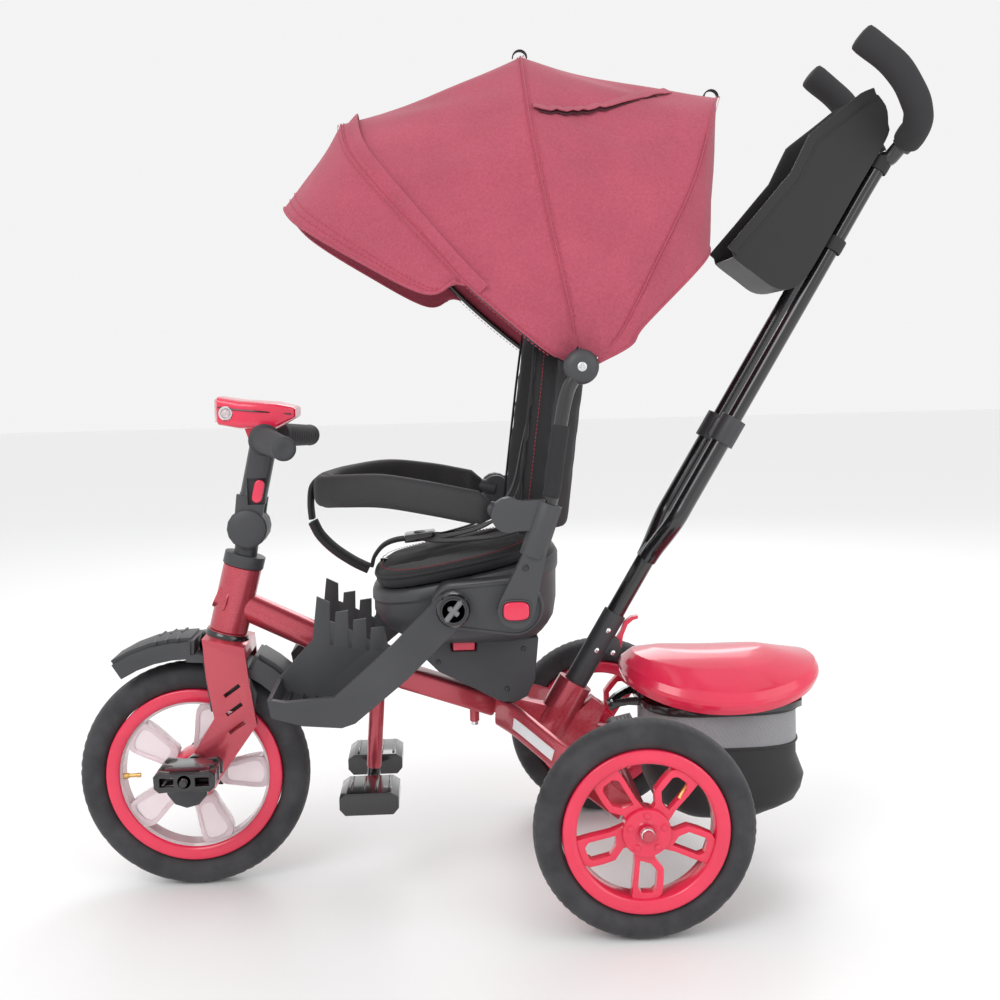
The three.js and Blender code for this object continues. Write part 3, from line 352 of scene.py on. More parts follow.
# ------------------------------------------------------------------ fork and steering collar
# Two pressed steel legs with three slanted slots each, welded to a crown in the same lacquer as the
# frame. A black moulded collar with a pointed front closes the lower bearing of the head tube.
eased_copy("fork", "fork_shell", raspberry, "steering", "frame_paint", 1.3, segments=2)

charcoal = finish_of("charcoal plastic", (0.036, 0.037, 0.040), 0.48)
bumped(charcoal, noise_on(charcoal, 2600, 2), 0.16, 0.15)
roughened(charcoal, noise_on(charcoal, 14, 4), 0.40, 0.56)
coloured(charcoal, noise_on(charcoal, 9, 4), [(0.35, (0.040, 0.041, 0.045)), (0.65, (0.052, 0.053, 0.058))])

gloss_black = finish_of("gloss black", (0.010, 0.010, 0.012), 0.22)
roughened(gloss_black, noise_on(gloss_black, 30, 4), 0.16, 0.30)
bumped(gloss_black, noise_on(gloss_black, 60, 2), 0.04, 0.5)
glazed(gloss_black, 0.6)

collar = bmesh.new()
piped(collar, [on_steering(s) for s in (176, 177.5, 189, 194, 195.4)], [26, 28, 29, 27.5, 26], 40)
apron = [on_steering(198, 0) + Vector((-25, 0, -4)), on_steering(188, 0) + Vector((-29.5, 0, -10)),
         on_steering(168, 0) + Vector((-27.5, 0, -12))]
piped(collar, apron, [9, 8, 2.5], 16)
finished("steering_collar", collar, gloss_black, "steering", "charcoal_plastic")

# ------------------------------------------------------------------ front mudguard
# One satin charcoal moulding that follows the tyre, with a saddle for the fork crown, a rolled edge
# and three short slanted ribs on its nose.
eased_copy("mudguard", "mudguard_shell", charcoal, "steering", "charcoal_plastic", 2.2, angle=40)


def on_front_wheel(radius, degrees, y=0.0):
    angle = math.radians(degrees)
    return Vector((-563 + radius * math.cos(angle), y, 150 + radius * math.sin(angle)))


for i, degrees in enumerate((93, 97.5, 102)):
    rib = bmesh.new()
    piped(rib, [on_front_wheel(186.4, degrees + 0.06 * (y + 40) * 0.5, y) for y in range(-38, -8, 5)], 1.6,
          10)
    piped(rib, [on_front_wheel(186.4, degrees + 0.06 * (40 - y) * 0.5, y) for y in range(10, 39, 5)], 1.6, 10)
    finished("mudguard_rib_%d" % (i + 1), rib, charcoal, "steering", "charcoal_plastic")

# ------------------------------------------------------------------ tyres
# Moulded foam rubber: a flat tread with a row of cross nicks, rounded shoulders and curved grooves
# that fan out over each side wall.
rubber = finish_of("tyre rubber", (0.030, 0.030, 0.033), 0.72)
coloured(rubber, noise_on(rubber, 30, 6), [(0.35, (0.022, 0.022, 0.025)), (0.7, (0.045, 0.045, 0.049))])
bumped(rubber, noise_on(rubber, 900, 3), 0.25, 0.2)
rubber.node_tree.nodes["Principled BSDF"].inputs["Sheen Weight"].default_value = 0.08


def turned(mesh, profile, x, y, z, steps):
    """Spins a closed profile of (radius, across) pairs in millimetres about an axle along Y."""
    corners = [mesh.verts.new(spot(x + radius, y + across, z)) for radius, across in profile]
    edges = [mesh.edges.new((corners[i - 1], corners[i])) for i in range(len(corners))]
    bmesh.ops.spin(mesh, geom=corners + edges, cent=spot(x, y, z), axis=(0, 1, 0), angle=2 * math.pi,
                   steps=steps, use_merge=True)


def tyre_piece(name, body, node, x, y, z, radius, seat):
    wall = radius - seat
    half = [(0, 13.5), (0.12, 17.5), (0.22, 20.5), (0.34, 22.3), (0.46, 22.9), (0.56, 22.8), (0.66, 22.1),
            (0.76, 20.6), (0.85, 18.0), (0.92, 14.4), (0.97, 10.2), (0.995, 5.4), (1.0, 1.6)]
    profile = [(seat + wall * f, w) for f, w in half] + [(seat + wall * f, -w) for f, w in reversed(half)]
    steps = 216
    tyre = bmesh.new()
    turned(tyre, profile, x, y, z, steps)
    hub = spot(x, y, z)
    for v in tyre.verts:
        out = Vector((v.co.x - hub.x, 0, v.co.z - hub.z))
        share = (out.length * 1000 - seat) / wall
        across = (v.co.y - hub.y) * 1000
        angle = math.atan2(out.z, out.x)
        if 0.3 < share < 0.93:
            sweep = angle * 18 / (2 * math.pi) + 0.55 * (share - 0.3) ** 1.6
            if sweep % 1 < 0.14:
                v.co.y -= math.copysign(0.0013, across)
        elif share >= 0.93:
            if (angle * 72 / (2 * math.pi) + abs(across) * 0.012) % 1 < 0.34 and abs(across) > 3:
                v.co -= out.normalized() * 0.0011
    finished(name, tyre, rubber, body, "tyre_rubber", node, crease=60)


tyre_piece("front_tyre_rubber", "front_wheel", "front_tyre", -563, 0, 150, 150, 115.8)
tyre_piece("rear_tyre_rubber_left", "rear_wheel_left", "rear_tyre_left", 0, -225, 132, 132, 99.8)
tyre_piece("rear_tyre_rubber_right", "rear_wheel_right", "rear_tyre_right", 0, 225, 132, 132, 99.8)

# ------------------------------------------------------------------ front rim, clear spokes and valve
# A glossy pink-red rim holds five clear moulded wedges on a red hub, each wedge with a raised edge; a
# short brass valve stands inside the rim.
pink_red = finish_of("glossy pink-red plastic", (0.76, 0.022, 0.075), 0.26)
coloured(pink_red, noise_on(pink_red, 12, 3), [(0.3, (0.70, 0.017, 0.062)), (0.7, (0.82, 0.028, 0.088))])
bumped(pink_red, noise_on(pink_red, 90, 2), 0.05, 0.3)
glazed(pink_red, 0.5)
pink_red.node_tree.nodes["Principled BSDF"].inputs["Subsurface Weight"].default_value = 0.05

clear = finish_of("clear plastic", (0.97, 0.86, 0.89), 0.09)
clear.node_tree.nodes["Principled BSDF"].inputs["Transmission Weight"].default_value = 0.6
clear.node_tree.nodes["Principled BSDF"].inputs["IOR"].default_value = 1.45
bumped(clear, noise_on(clear, 40, 2), 0.12, 0.6)

brass = finish_of("brass", (0.72, 0.45, 0.16), 0.3, 1.0)
roughened(brass, noise_on(brass, 120, 4), 0.2, 0.42)
chrome = finish_of("chrome", (0.80, 0.80, 0.82), 0.12, 1.0)
roughened(chrome, noise_on(chrome, 50, 4), 0.08, 0.2)

RIM_PROFILE = [(-17, 15.5), (-15.5, 17.6), (-11, 18.6), (-4, 19.2), (-1.2, 19.0), (0, 17.6), (0, 15),
               (0, -15), (0, -17.6), (-1.2, -19.0), (-4, -19.2), (-11, -18.6), (-15.5, -17.6), (-17, -15.5)]
rim = bmesh.new()
turned(rim, [(115 + r, y) for r, y in RIM_PROFILE], -563, 0, 150, 120)
finished("front_rim_ring", rim, pink_red, "front_wheel", "red_plastic", "front_rim", crease=50)


def plate(mesh, outlines, place, thick):
    """A flat plate between its outline and any holes, grown by thick from where place puts it."""
    edges = []
    for outline in outlines:
        corners = [mesh.verts.new(place(u, v)) for u, v in outline]
        edges += [mesh.edges.new((corners[i - 1], corners[i])) for i in range(len(corners))]
    filled = bmesh.ops.triangle_fill(mesh, use_beauty=True, use_dissolve=True, edges=edges)
    faces = [g for g in filled["geom"] if isinstance(g, bmesh.types.BMFace)]
    grown = bmesh.ops.extrude_face_region(mesh, geom=faces, use_keep_orig=True)
    moved = [g for g in grown["geom"] if isinstance(g, bmesh.types.BMVert)]
    bmesh.ops.translate(mesh, verts=moved, vec=thick)


def curved_outline(points, steps=4):
    """A closed outline that flows through its corners."""
    count = len(points)
    smooth = []
    for i in range(count):
        a, b, c, d = (Vector(points[(i + k) % count]) for k in (-1, 0, 1, 2))
        for k in range(steps):
            t = k / steps
            p = 0.5 * (2 * b + (c - a) * t + (2 * a - 5 * b + 4 * c - d) * t ** 2
                       + (3 * b - a - 3 * c + d) * t ** 3)
            smooth.append((p.x, p.y))
    return smooth


def spoke_place(x, y, z, angle):
    c, s = math.cos(angle), math.sin(angle)
    return lambda u, v: spot(x + u * c - v * s, y, z + u * s + v * c)


wedge = [(34, -12), (52, -17), (84, -21), (95, -17), (97.4, -4), (95, 13), (84, 21), (52, 15), (34, 10)]
inset = [(44, -9), (60, -12.5), (82, -15), (89, -11), (90.5, -2), (88, 9), (80, 15), (58, 10), (44, 6.5)]
for i in range(5):
    angle = 2 * math.pi * i / 5
    blade = bmesh.new()
    plate(blade, [curved_outline(wedge)], spoke_place(-563, -11, 150, angle), Vector((0, 0.022, 0)))
    ease_edges(blade, 1.6)
    finished("clear_spoke_%d" % (i + 1), blade, clear, "front_wheel", "clear_plastic",
             *(("front_spokes",) if i == 0 else ()))
    liner = bmesh.new()
    plate(liner, [curved_outline(wedge), curved_outline(inset)], spoke_place(-563, -12.8, 150, angle),
          Vector((0, 0.0016, 0)))
    ease_edges(liner, 0.5, 2)
    finished("spoke_edge_%d" % (i + 1), liner, clear, "front_wheel", "clear_plastic")
ring = bmesh.new()
turned(ring, [(98, 14), (98, -14), (94.5, -12), (94.5, 12)], -563, 0, 150, 96)
finished("clear_inner_ring", ring, clear, "front_wheel", "clear_plastic")
hub = bmesh.new()
turned(hub, [(6.4, 36), (22, 36), (27, 33), (30, 26), (33, 14), (33, -14), (30, -26), (27, -33), (22, -36),
             (6.4, -36)], -563, 0, 150, 64)
finished("front_hub", hub, pink_red, "front_wheel", "red_plastic")
valve = bmesh.new()
piped(valve, [on_front_wheel(r, 181, -4) for r in (98.5, 92, 88, 87.6, 78, 77.6, 73)],
      [4.4, 4.0, 3.4, 2.5, 2.5, 3.2, 3.0], 16)
finished("front_valve", valve, brass, "front_wheel", "red_plastic")

# ------------------------------------------------------------------ cranks and pedals
# Black plastic-covered crank arms with a slotted cover disc, and bladed black pedals that spin on
# steel spindles.
eased_copy("crank", "crank_arms", gloss_black, "crank", "axle_steel", 1.6)
cover = bmesh.new()
piped(cover, [(-563, y, 150) for y in (-67.8, -71.6, -72.4, -72.6)], [25, 24, 20, 0.5], 48)
piped(cover, [(-563, y, 150) for y in (67.8, 71.6, 72.4, 72.6)], [25, 24, 20, 0.5], 48)
finished("crank_cover", cover, charcoal, "crank", "black_plastic")

for side, word, px, pz in ((-1, "left", -552, 180), (1, "right", -574, 120)):
    pedal = bmesh.new()
    inner, outer = sorted((side * 73, side * 139))
    cage = [(px - 37, pz - 8), (px - 31, pz - 13.5), (px - 12, pz - 12), (px + 12, pz - 12),
            (px + 31, pz - 13.5),
            (px + 37, pz - 8), (px + 37.5, pz + 7), (px + 31, pz + 12.5), (px + 12, pz + 10),
            (px - 12, pz + 10),
            (px - 31, pz + 12.5), (px - 37.5, pz + 7)]
    windows = [[(px - 30, pz - 6), (px - 13, pz - 6), (px - 13, pz + 5), (px - 30, pz + 5)],
               [(px + 13, pz - 6), (px + 30, pz - 6), (px + 30, pz + 5), (px + 13, pz + 5)]]
    for low in (inner, inner + 29, outer - 9):
        plate(pedal, [cage] + windows, lambda u, v, low=low: spot(u, low, v), Vector((0, 0.009, 0)))
    for dx in (-33, 33):
        plate(pedal, [[(px + dx - 3, pz - 9), (px + dx + 3, pz - 9), (px + dx + 3, pz + 9),
                       (px + dx - 3, pz + 9)]],
              lambda u, v: spot(u, inner + 4, v), Vector((0, (outer - inner - 8) / 1000, 0)))
    for dz in (-11, 8.5):
        plate(pedal, [[(px - 28, pz + dz), (px + 28, pz + dz), (px + 28, pz + dz + 2.4),
                       (px - 28, pz + dz + 2.4)]],
              lambda u, v: spot(u, inner + 4, v), Vector((0, (outer - inner - 8) / 1000, 0)))
    piped(pedal, [(px, y, pz) for y in (inner, outer)], 9, 24)
    ease_edges(pedal, 0.7, 2)
    finished("pedal_body_" + word, pedal, gloss_black, "pedal_" + word, "black_plastic", "pedal_" + word)
    cap = bmesh.new()
    piped(cap, [(px, side * y, pz) for y in (138, 142, 145.5, 146.5)], [5.6, 5.4, 4.2, 2.4], 20)
    finished("pedal_cap_" + word, cap, chrome, "pedal_" + word, "axle_steel")

# ------------------------------------------------------------------ rear wheels
# One-piece glossy pink-red wheels with five forked spokes, five red bolts round the hub, a domed chrome
# nut and a bent brass valve.
fork_edge = [(16, -15), (40, -14), (62, -16.5), (84, -18), (87, -4), (86, 9), (76, 18), (60, 20), (45, 20),
             (32, 10), (16, 11)]
fork_hole = [(35, -7.5), (68, -10.5), (74, -6), (74, 7), (70, 11.5), (49, 13), (39, 5)]
for side, word in ((-1, "left"), (1, "right")):
    wheel_body = "rear_wheel_" + word
    centre_y = side * 225
    wheel = bmesh.new()
    turned(wheel, [(99 + r, side * y) for r, y in RIM_PROFILE], 0, centre_y, 132, 112)
    finished("rear_rim_ring_" + word, wheel, pink_red, wheel_body, "red_plastic", "rear_rim_" + word,
             crease=50)
    star = bmesh.new()
    for i in range(5):
        angle = -math.pi / 2 + 2 * math.pi * i / 5
        place = spoke_place(0, centre_y + side * 14 if side < 0 else centre_y - 2, 132, angle)
        plate(star, [fork_edge, fork_hole], place, Vector((0, 0.016, 0)))
    ease_edges(star, 2.2, 3)
    finished("rear_spokes_" + word, star, pink_red, wheel_body, "red_plastic")
    core = bmesh.new()
    turned(core, [(6.6, -20 * side), (24, -20 * side), (25.5, -10 * side), (27, 14 * side), (29, 17 * side),
                  (28, 19.5 * side), (15, 20.5 * side), (12, 19 * side), (6.6, 19 * side)],
           0, centre_y, 132, 72)
    finished("rear_hub_" + word, core, pink_red, wheel_body, "red_plastic", crease=30)
    for i in range(5):
        angle = math.pi / 2 + 2 * math.pi * i / 5
        bx, bz = 20.8 * math.cos(angle), 132 + 20.8 * math.sin(angle)
        bolt = bmesh.new()
        piped(bolt, [(bx, centre_y + side * y, bz) for y in (18.5, 20.8, 21.8, 22.2)], [4.3, 4.3, 3.8, 2.6],
              6)
        piped(bolt, [(bx, centre_y + side * y, bz) for y in (18.5, 20.2)], 5.6, 20)
        ease_edges(bolt, 0.3, 2)
        finished("rear_bolt_%s_%d" % (word, i + 1), bolt, pink_red, wheel_body, "red_plastic")
    stem = bmesh.new()
    piped(stem, flowing([(58, centre_y + side * 4, 190), (50, centre_y + side * 5, 183),
                         (44, centre_y + side * 9, 177), (39, centre_y + side * 12, 170)], 4), 2.6, 12)
    finished("rear_valve_" + word, stem, brass, wheel_body, "red_plastic")
    dome = bmesh.new()
    piped(dome, [(0, side * y, 132) for y in (246.2, 250, 253, 255, 255.9)], [9.5, 9.3, 7.6, 4.6, 0.6], 32)
    finished("axle_cap_" + word, dome, chrome, "frame", "axle_steel")

eased_copy("rear_axle", "rear_axle_tube", raspberry, "frame", "axle_steel", 0.8)

# ------------------------------------------------------------------ parking brake
# A charcoal foot bar on a lug of the handle bracket, with grip ribs across its tread.
eased_copy("brake_pedal", "brake_bar", charcoal, "brake_pedal", "charcoal_plastic", 0.9)
for i in range(4):
    rib = bmesh.new()
    x = 3 + 5 * i
    piped(rib, [(x, y, 194.6 + 0.2 * (x - 3)) for y in (-32, -31, 31, 32)], [0.3, 1.1, 1.1, 0.3], 10)
    finished("brake_rib_%d" % (i + 1), rib, charcoal, "brake_pedal", "charcoal_plastic")

# ------------------------------------------------------------------ stem, handlebar and grips
# A charcoal ball hinge clamps the stem at its angle with one pale screw; a long oval red button sits in
# the column. The bar ends wear tapered rubber grips with a wide flange and fine rings.
eased_copy("stem_ball", "stem_knuckle", charcoal, "steering", "charcoal_plastic", 1.6)
eased_copy("handlebar_stem", "stem_column", charcoal, "handlebar", "charcoal_plastic", 2.2)
eased_copy("stem_button", "stem_button_cap", pink_red, "stem_button", "red_plastic", 1.6)
pale_plastic = finish_of("pale screw", (0.62, 0.62, 0.63), 0.35, 0.6)
roughened(pale_plastic, noise_on(pale_plastic, 200, 3), 0.25, 0.5)


def screw(name, x, y, z, side, radius, body, material=pale_plastic):
    head = bmesh.new()
    piped(head, [(x, y + side * d, z) for d in (-2, 0.4, 1.3, 1.5)],
          [radius, radius, radius * 0.8, radius * 0.5], 24)
    piped(head, [(x - radius * 0.55, y + side * 1.4, z), (x + radius * 0.55, y + side * 1.4, z)],
          radius * 0.16, 8)
    piped(head, [(x, y + side * 1.4, z - radius * 0.55), (x, y + side * 1.4, z + radius * 0.55)],
          radius * 0.16, 8)
    finished(name, head, material, body, "axle_steel")


screw("stem_screw_left", -480, -22, 475, -1, 5.5, "handlebar")
screw("stem_screw_right", -480, 22, 475, 1, 5.5, "handlebar")
for side, word in ((-1, "left"), (1, "right")):
    disc = bmesh.new()
    piped(disc, [(-480, side * y, 475) for y in (21, 24, 26, 27)], [25.5, 24, 19, 12], 48)
    finished("stem_cheek_" + word, disc, charcoal, "handlebar", "charcoal_plastic")

grip_rubber = finish_of("grip rubber", (0.045, 0.046, 0.050), 0.68)
bumped(grip_rubber, noise_on(grip_rubber, 1200, 3), 0.2, 0.15)
roughened(grip_rubber, noise_on(grip_rubber, 25, 4), 0.6, 0.78)
for side, word in ((-1, "left"), (1, "right")):
    inner = Vector((-449, side * 60, 591.5))
    along = (Vector((-411, side * 161, 585)) - inner).normalized()
    shape = [(0, 17), (1, 19.6), (4, 20.4), (6.5, 19.8), (8, 17), (10, 15.8)]
    for k in range(12):
        start = 13 + 7.2 * k
        swell = 16.2 - 0.15 * k
        shape += [(start, swell - 0.9), (start + 1.2, swell), (start + 5, swell), (start + 6.2, swell - 0.9)]
    shape += [(101.5, 15), (105, 14.6), (107.6, 12), (108.3, 8), (106.8, 4)]
    grip = bmesh.new()
    piped(grip, [inner + along * d for d, r in shape], [r for d, r in shape], 40)
    finished("grip_" + word, grip, grip_rubber, "handlebar", "grip_rubber", "handlebar_grip_" + word,
             crease=50)

# ------------------------------------------------------------------ light and sound unit
# A glossy pink-red faceted housing over the bar, with a clear front cover, a small chrome lamp in its
# nose, and a lug that plugs it on the stem.
unit = bmesh.new()
rings = []
for x, low, high, half in ((-511, 611, 645, 30), (-509.5, 609.5, 646, 33), (-482, 604.5, 641, 42),
                           (-436, 603.5, 637, 44), (-413, 616, 631, 35.5), (-411, 618, 629, 33)):
    middle_z, tall = (low + high) / 2, (high - low) / 2
    ring = []
    for k in range(40):
        c, s = math.cos(2 * math.pi * (k + 0.5) / 40), math.sin(2 * math.pi * (k + 0.5) / 40)
        ring.append(spot(x, math.copysign(abs(c) ** 0.3, c) * half,
                         middle_z + math.copysign(abs(s) ** 0.3, s) * tall))
    rings.append(ring)
skinned(unit, rings)
finished("light_housing", unit, pink_red, "handlebar", "red_plastic", "light_panel", crease=24)
for side in (-1, 1):
    lamp = bmesh.new()
    piped(lamp, [(-498, side * y, 625) for y in (37.2, 39.6, 40.4, 40.4, 38.6)], [9, 9, 8.2, 6.4, 5.8], 32)
    finished("lamp_bezel_%d" % (side + 2), lamp, chrome, "handlebar", "axle_steel")
    glass = bmesh.new()
    piped(glass, [(-498, side * y, 625) for y in (38.8, 40.0, 40.5)], [5.8, 4.4, 0.6], 24)
    finished("lamp_glass_%d" % (side + 2), glass, clear, "handlebar", "clear_plastic")
    trim = bmesh.new()
    piped(trim, flowing([(-509, side * 33.6, 633), (-482, side * 42.2, 629), (-450, side * 43.9, 626),
                         (-416, side * 37, 622)], 5), 1.0, 8)
    finished("light_seam_%d" % (side + 2), trim, gloss_black, "handlebar", "black_plastic")
nose = bmesh.new()
plate(nose, [curved_outline([(-24, 613), (24, 613), (27, 620), (26, 638), (20, 643), (-20, 643), (-26, 638),
                             (-27, 620)])],
      lambda u, v: spot(-514, u, v), Vector((0.0032, 0, 0)))
ease_edges(nose, 0.8)
finished("light_cover", nose, clear, "handlebar", "clear_plastic")
lug = bmesh.new()
plate(lug, [[(-480, 606), (-456, 606), (-462, 588), (-474, 588)]], lambda u, v: spot(u, -13, v),
      Vector((0, 0.026, 0)))
ease_edges(lug, 1.5)
finished("light_lug", lug, pink_red, "handlebar", "red_plastic")

# ------------------------------------------------------------------ swivel housing and its lever
# A charcoal moulding under the seat that hides the turntable; a red tag on its left is pulled to turn
# the seat round.
eased_copy("swivel_housing", "swivel_cover", charcoal, "frame", "charcoal_plastic", 3)
eased_copy("swivel_lever", "swivel_tag", pink_red, "swivel_lever", "red_plastic", 1.6)
for side in (-1, 1):
    for i, (x, z) in enumerate(((-238, 300), (-150, 262), (-128, 314))):
        screw("housing_screw_%d_%d" % (side + 2, i), x, side * 58, z, side, 3.4, "frame", gloss_black)

# ------------------------------------------------------------------ seat pan
# A satin charcoal moulding: a deep rounded pan with a rolled rim, and a pod on each side that carries
# the footrest's knob and the backrest's joint.


def seat_height(x):
    return 402 + 0.19 * (x + 315)


def seat_ring(x_front, x_back, half_width, height, power=3.0, count=96):
    ring = []
    for k in range(count):
        c, s = math.cos(2 * math.pi * k / count), math.sin(2 * math.pi * k / count)
        x = (x_front + x_back) / 2 + (x_back - x_front) / 2 * math.copysign(abs(c) ** (2 / power), c)
        y = half_width * math.copysign(abs(s) ** (2 / power), s)
        ring.append(spot(x, y, height(x)))
    return ring


pan = bmesh.new()
skinned(pan, [
    seat_ring(-262, -112, 72, lambda x: 327),
    seat_ring(-272, -104, 82, lambda x: 330),
    seat_ring(-290, -98, 102, lambda x: 338),
    seat_ring(-303, -92, 116, lambda x: 347),
    seat_ring(-313, -86, 125, lambda x: 358),
    seat_ring(-319, -82.5, 130, lambda x: 369 + 0.05 * (x + 315)),
    seat_ring(-319, -82, 130.5, lambda x: seat_height(x) - 21 - 0.04 * (x + 315)),
    seat_ring(-319.5, -81, 131, lambda x: seat_height(x) - 19 - 0.04 * (x + 315)),
    seat_ring(-321, -79.5, 133, lambda x: seat_height(x) - 17 - 0.03 * (x + 315)),
    seat_ring(-321, -79.5, 133, lambda x: seat_height(x) - 9),
    seat_ring(-318, -81.5, 130.5, lambda x: seat_height(x) - 5),
    seat_ring(-312, -84, 126, lambda x: seat_height(x) - 4),
])
finished("seat_pan", pan, charcoal, "seat", "charcoal_plastic", "seat_shell", crease=40)


def link_outline(ax, az, a_radius, bx, bz, b_radius, count=20):
    """An outline round two circles."""
    long = math.hypot(bx - ax, bz - az)
    heading = math.atan2(bz - az, bx - ax)
    spread = math.acos((a_radius - b_radius) / long)
    outline = []
    for cx, cz, radius, start, end in ((ax, az, a_radius, heading + spread, heading + 2 * math.pi - spread),
                                       (bx, bz, b_radius, heading - spread, heading + spread)):
        for k in range(count + 1):
            angle = start + (end - start) * k / count
            outline.append((cx + radius * math.cos(angle), cz + radius * math.sin(angle)))
    return outline


for side, word in ((-1, "left"), (1, "right")):
    pod = bmesh.new()
    near, far = sorted((side * 172, side * 112))
    plate(pod, [link_outline(-218, 392, 26, -144, 389, 34)], lambda u, v: spot(u, near, v),
          Vector((0, (far - near) / 1000, 0)))
    ease_edges(pod, 3.5, 4)
    finished("seat_pod_" + word, pod, charcoal, "seat", "charcoal_plastic")
    lip = bmesh.new()
    plate(lip, [link_outline(-218, 392, 24, -144, 389, 32), link_outline(-218, 392, 22.4, -144, 389, 30.4)],
          lambda u, v: spot(u, side * 172.6 - 0.8, v), Vector((0, 0.0016, 0)))
    finished("pod_line_" + word, lip, charcoal, "seat", "charcoal_plastic")

# ------------------------------------------------------------------ footrests
# Two charcoal foot wells on long arms, each with a finned inner wall, tread bars on its floor and a
# round black knob with a grey cross bar.
knob_grey = finish_of("grey knob bar", (0.16, 0.16, 0.17), 0.45)
bumped(knob_grey, noise_on(knob_grey, 900, 2), 0.15, 0.2)
roughened(knob_grey, noise_on(knob_grey, 40, 3), 0.38, 0.52)
for side, word in ((-1, "left"), (1, "right")):
    eased_copy("footrest_" + word, "foot_well_" + word, charcoal, "footrest_" + word, "charcoal_plastic", 1.6)
    for i in range(6):
        x = -424 + 15 * i
        z = 270 - 0.22 * (x + 424) + 1.4 if x < -360 else 256.6 + 0.72 * max(0, x + 352)
        bar = bmesh.new()
        piped(bar, [(x, side * y, z + 1) for y in (77, 79, 166, 168)], [0.4, 1.5, 1.5, 0.4], 10)
        finished("tread_bar_%s_%d" % (word, i + 1), bar, charcoal, "footrest_" + word, "charcoal_plastic")
    low, high = sorted((side * 69.5, side * 73.5))
    web = bmesh.new()
    plate(web, [[(-394, 338), (-391, 366), (-371, 360), (-349, 349), (-327, 337), (-304, 325), (-312, 310)]],
          lambda u, v: spot(u, low, v), Vector((0, (high - low) / 1000, 0)))
    ease_edges(web, 0.8, 2)
    finished("fin_web_" + word, web, charcoal, "footrest_" + word, "charcoal_plastic")
    knob = bmesh.new()
    piped(knob, [(-218, side * y, 392) for y in (188, 193, 195.5, 196.2)], [20.5, 20, 18, 14], 48)
    piped(knob, [(-218, side * y, 392) for y in (196, 197.4, 197.4, 195.6)], [15.6, 15, 13.4, 12.8], 48)
    finished("footrest_knob_" + word, knob, gloss_black, "footrest_" + word, "black_plastic")
    cross = bmesh.new()
    for lean in (0.9, 0.9 + math.pi / 2):
        reach = 15 if lean < 1 else 7
        c, s = reach * math.cos(lean), reach * math.sin(lean)
        piped(cross, [(-218 + c, side * 196, 392 + s), (-218 + 0.9 * c, side * 197.5, 392 + 0.9 * s),
                      (-218 - 0.9 * c, side * 197.5, 392 - 0.9 * s), (-218 - c, side * 196, 392 - s)],
              [1.5, 3.4, 3.4, 1.5], 12)
    finished("knob_bar_" + word, cross, knob_grey, "footrest_" + word, "charcoal_plastic")

# ------------------------------------------------------------------ woven fabrics
# Black padded polyester with a fine weave and dark red stitching; lighter webbing with a herringbone.


def fabric(name, colour, pale, roughness, threads, relief=0.18, fuzz=0.35, flecks=700):
    material = finish_of(name, colour, roughness)
    nodes, links = material.node_tree.nodes, material.node_tree.links
    shader = nodes["Principled BSDF"]
    shader.inputs["Sheen Weight"].default_value = fuzz
    shader.inputs["Sheen Roughness"].default_value = 0.5
    place = nodes.new("ShaderNodeTexCoord")
    waves = []
    for turn in ((0.7, 0.2, 0.7), (0.2, 0.7, -0.7)):
        spin = nodes.new("ShaderNodeMapping")
        spin.inputs["Rotation"].default_value = turn
        links.new(place.outputs["Object"], spin.inputs["Vector"])
        wave = nodes.new("ShaderNodeTexWave")
        wave.bands_direction = "X"
        wave.inputs["Scale"].default_value = threads
        wave.inputs["Distortion"].default_value = 1.2
        wave.inputs["Detail"].default_value = 1.5
        links.new(spin.outputs["Vector"], wave.inputs["Vector"])
        waves.append(wave.outputs["Fac"])
    weave = nodes.new("ShaderNodeMath")
    weave.operation = "MULTIPLY"
    links.new(waves[0], weave.inputs[0])
    links.new(waves[1], weave.inputs[1])
    fleck = noise_on(material, flecks, 4)
    blotch = noise_on(material, 14, 3)
    ramp = nodes.new("ShaderNodeMapRange")
    ramp.inputs["To Min"].default_value = 0.25
    ramp.inputs["To Max"].default_value = 0.8
    links.new(fleck, ramp.inputs["Value"])
    mix = nodes.new("ShaderNodeMix")
    mix.data_type = "RGBA"
    mix.inputs["A"].default_value = (*colour, 1)
    mix.inputs["B"].default_value = (*pale, 1)
    links.new(ramp.outputs["Result"], mix.inputs["Factor"])
    shade = nodes.new("ShaderNodeMix")
    shade.data_type = "RGBA"
    shade.blend_type = "MULTIPLY"
    shade.inputs["Factor"].default_value = 0.3
    links.new(mix.outputs["Result"], shade.inputs["A"])
    links.new(blotch, shade.inputs["B"])
    links.new(shade.outputs["Result"], shader.inputs["Base Color"])
    relief_node = nodes.new("ShaderNodeBump")
    relief_node.inputs["Strength"].default_value = relief
    relief_node.inputs["Distance"].default_value = 0.0004
    links.new(weave.outputs["Value"], relief_node.inputs["Height"])
    links.new(relief_node.outputs["Normal"], shader.inputs["Normal"])
    return material


black_cloth = fabric("black polyester", (0.010, 0.010, 0.012), (0.026, 0.026, 0.029), 0.82, 420, 0.18, 0.05)
webbing = fabric("black webbing", (0.012, 0.012, 0.014), (0.034, 0.034, 0.037), 0.75, 260, 0.35, 0.05)
red_thread = finish_of("dark red thread", (0.33, 0.012, 0.03), 0.7)
bumped(red_thread, noise_on(red_thread, 1500, 2), 0.3, 0.1)
roughened(red_thread, noise_on(red_thread, 60, 2), 0.62, 0.8)


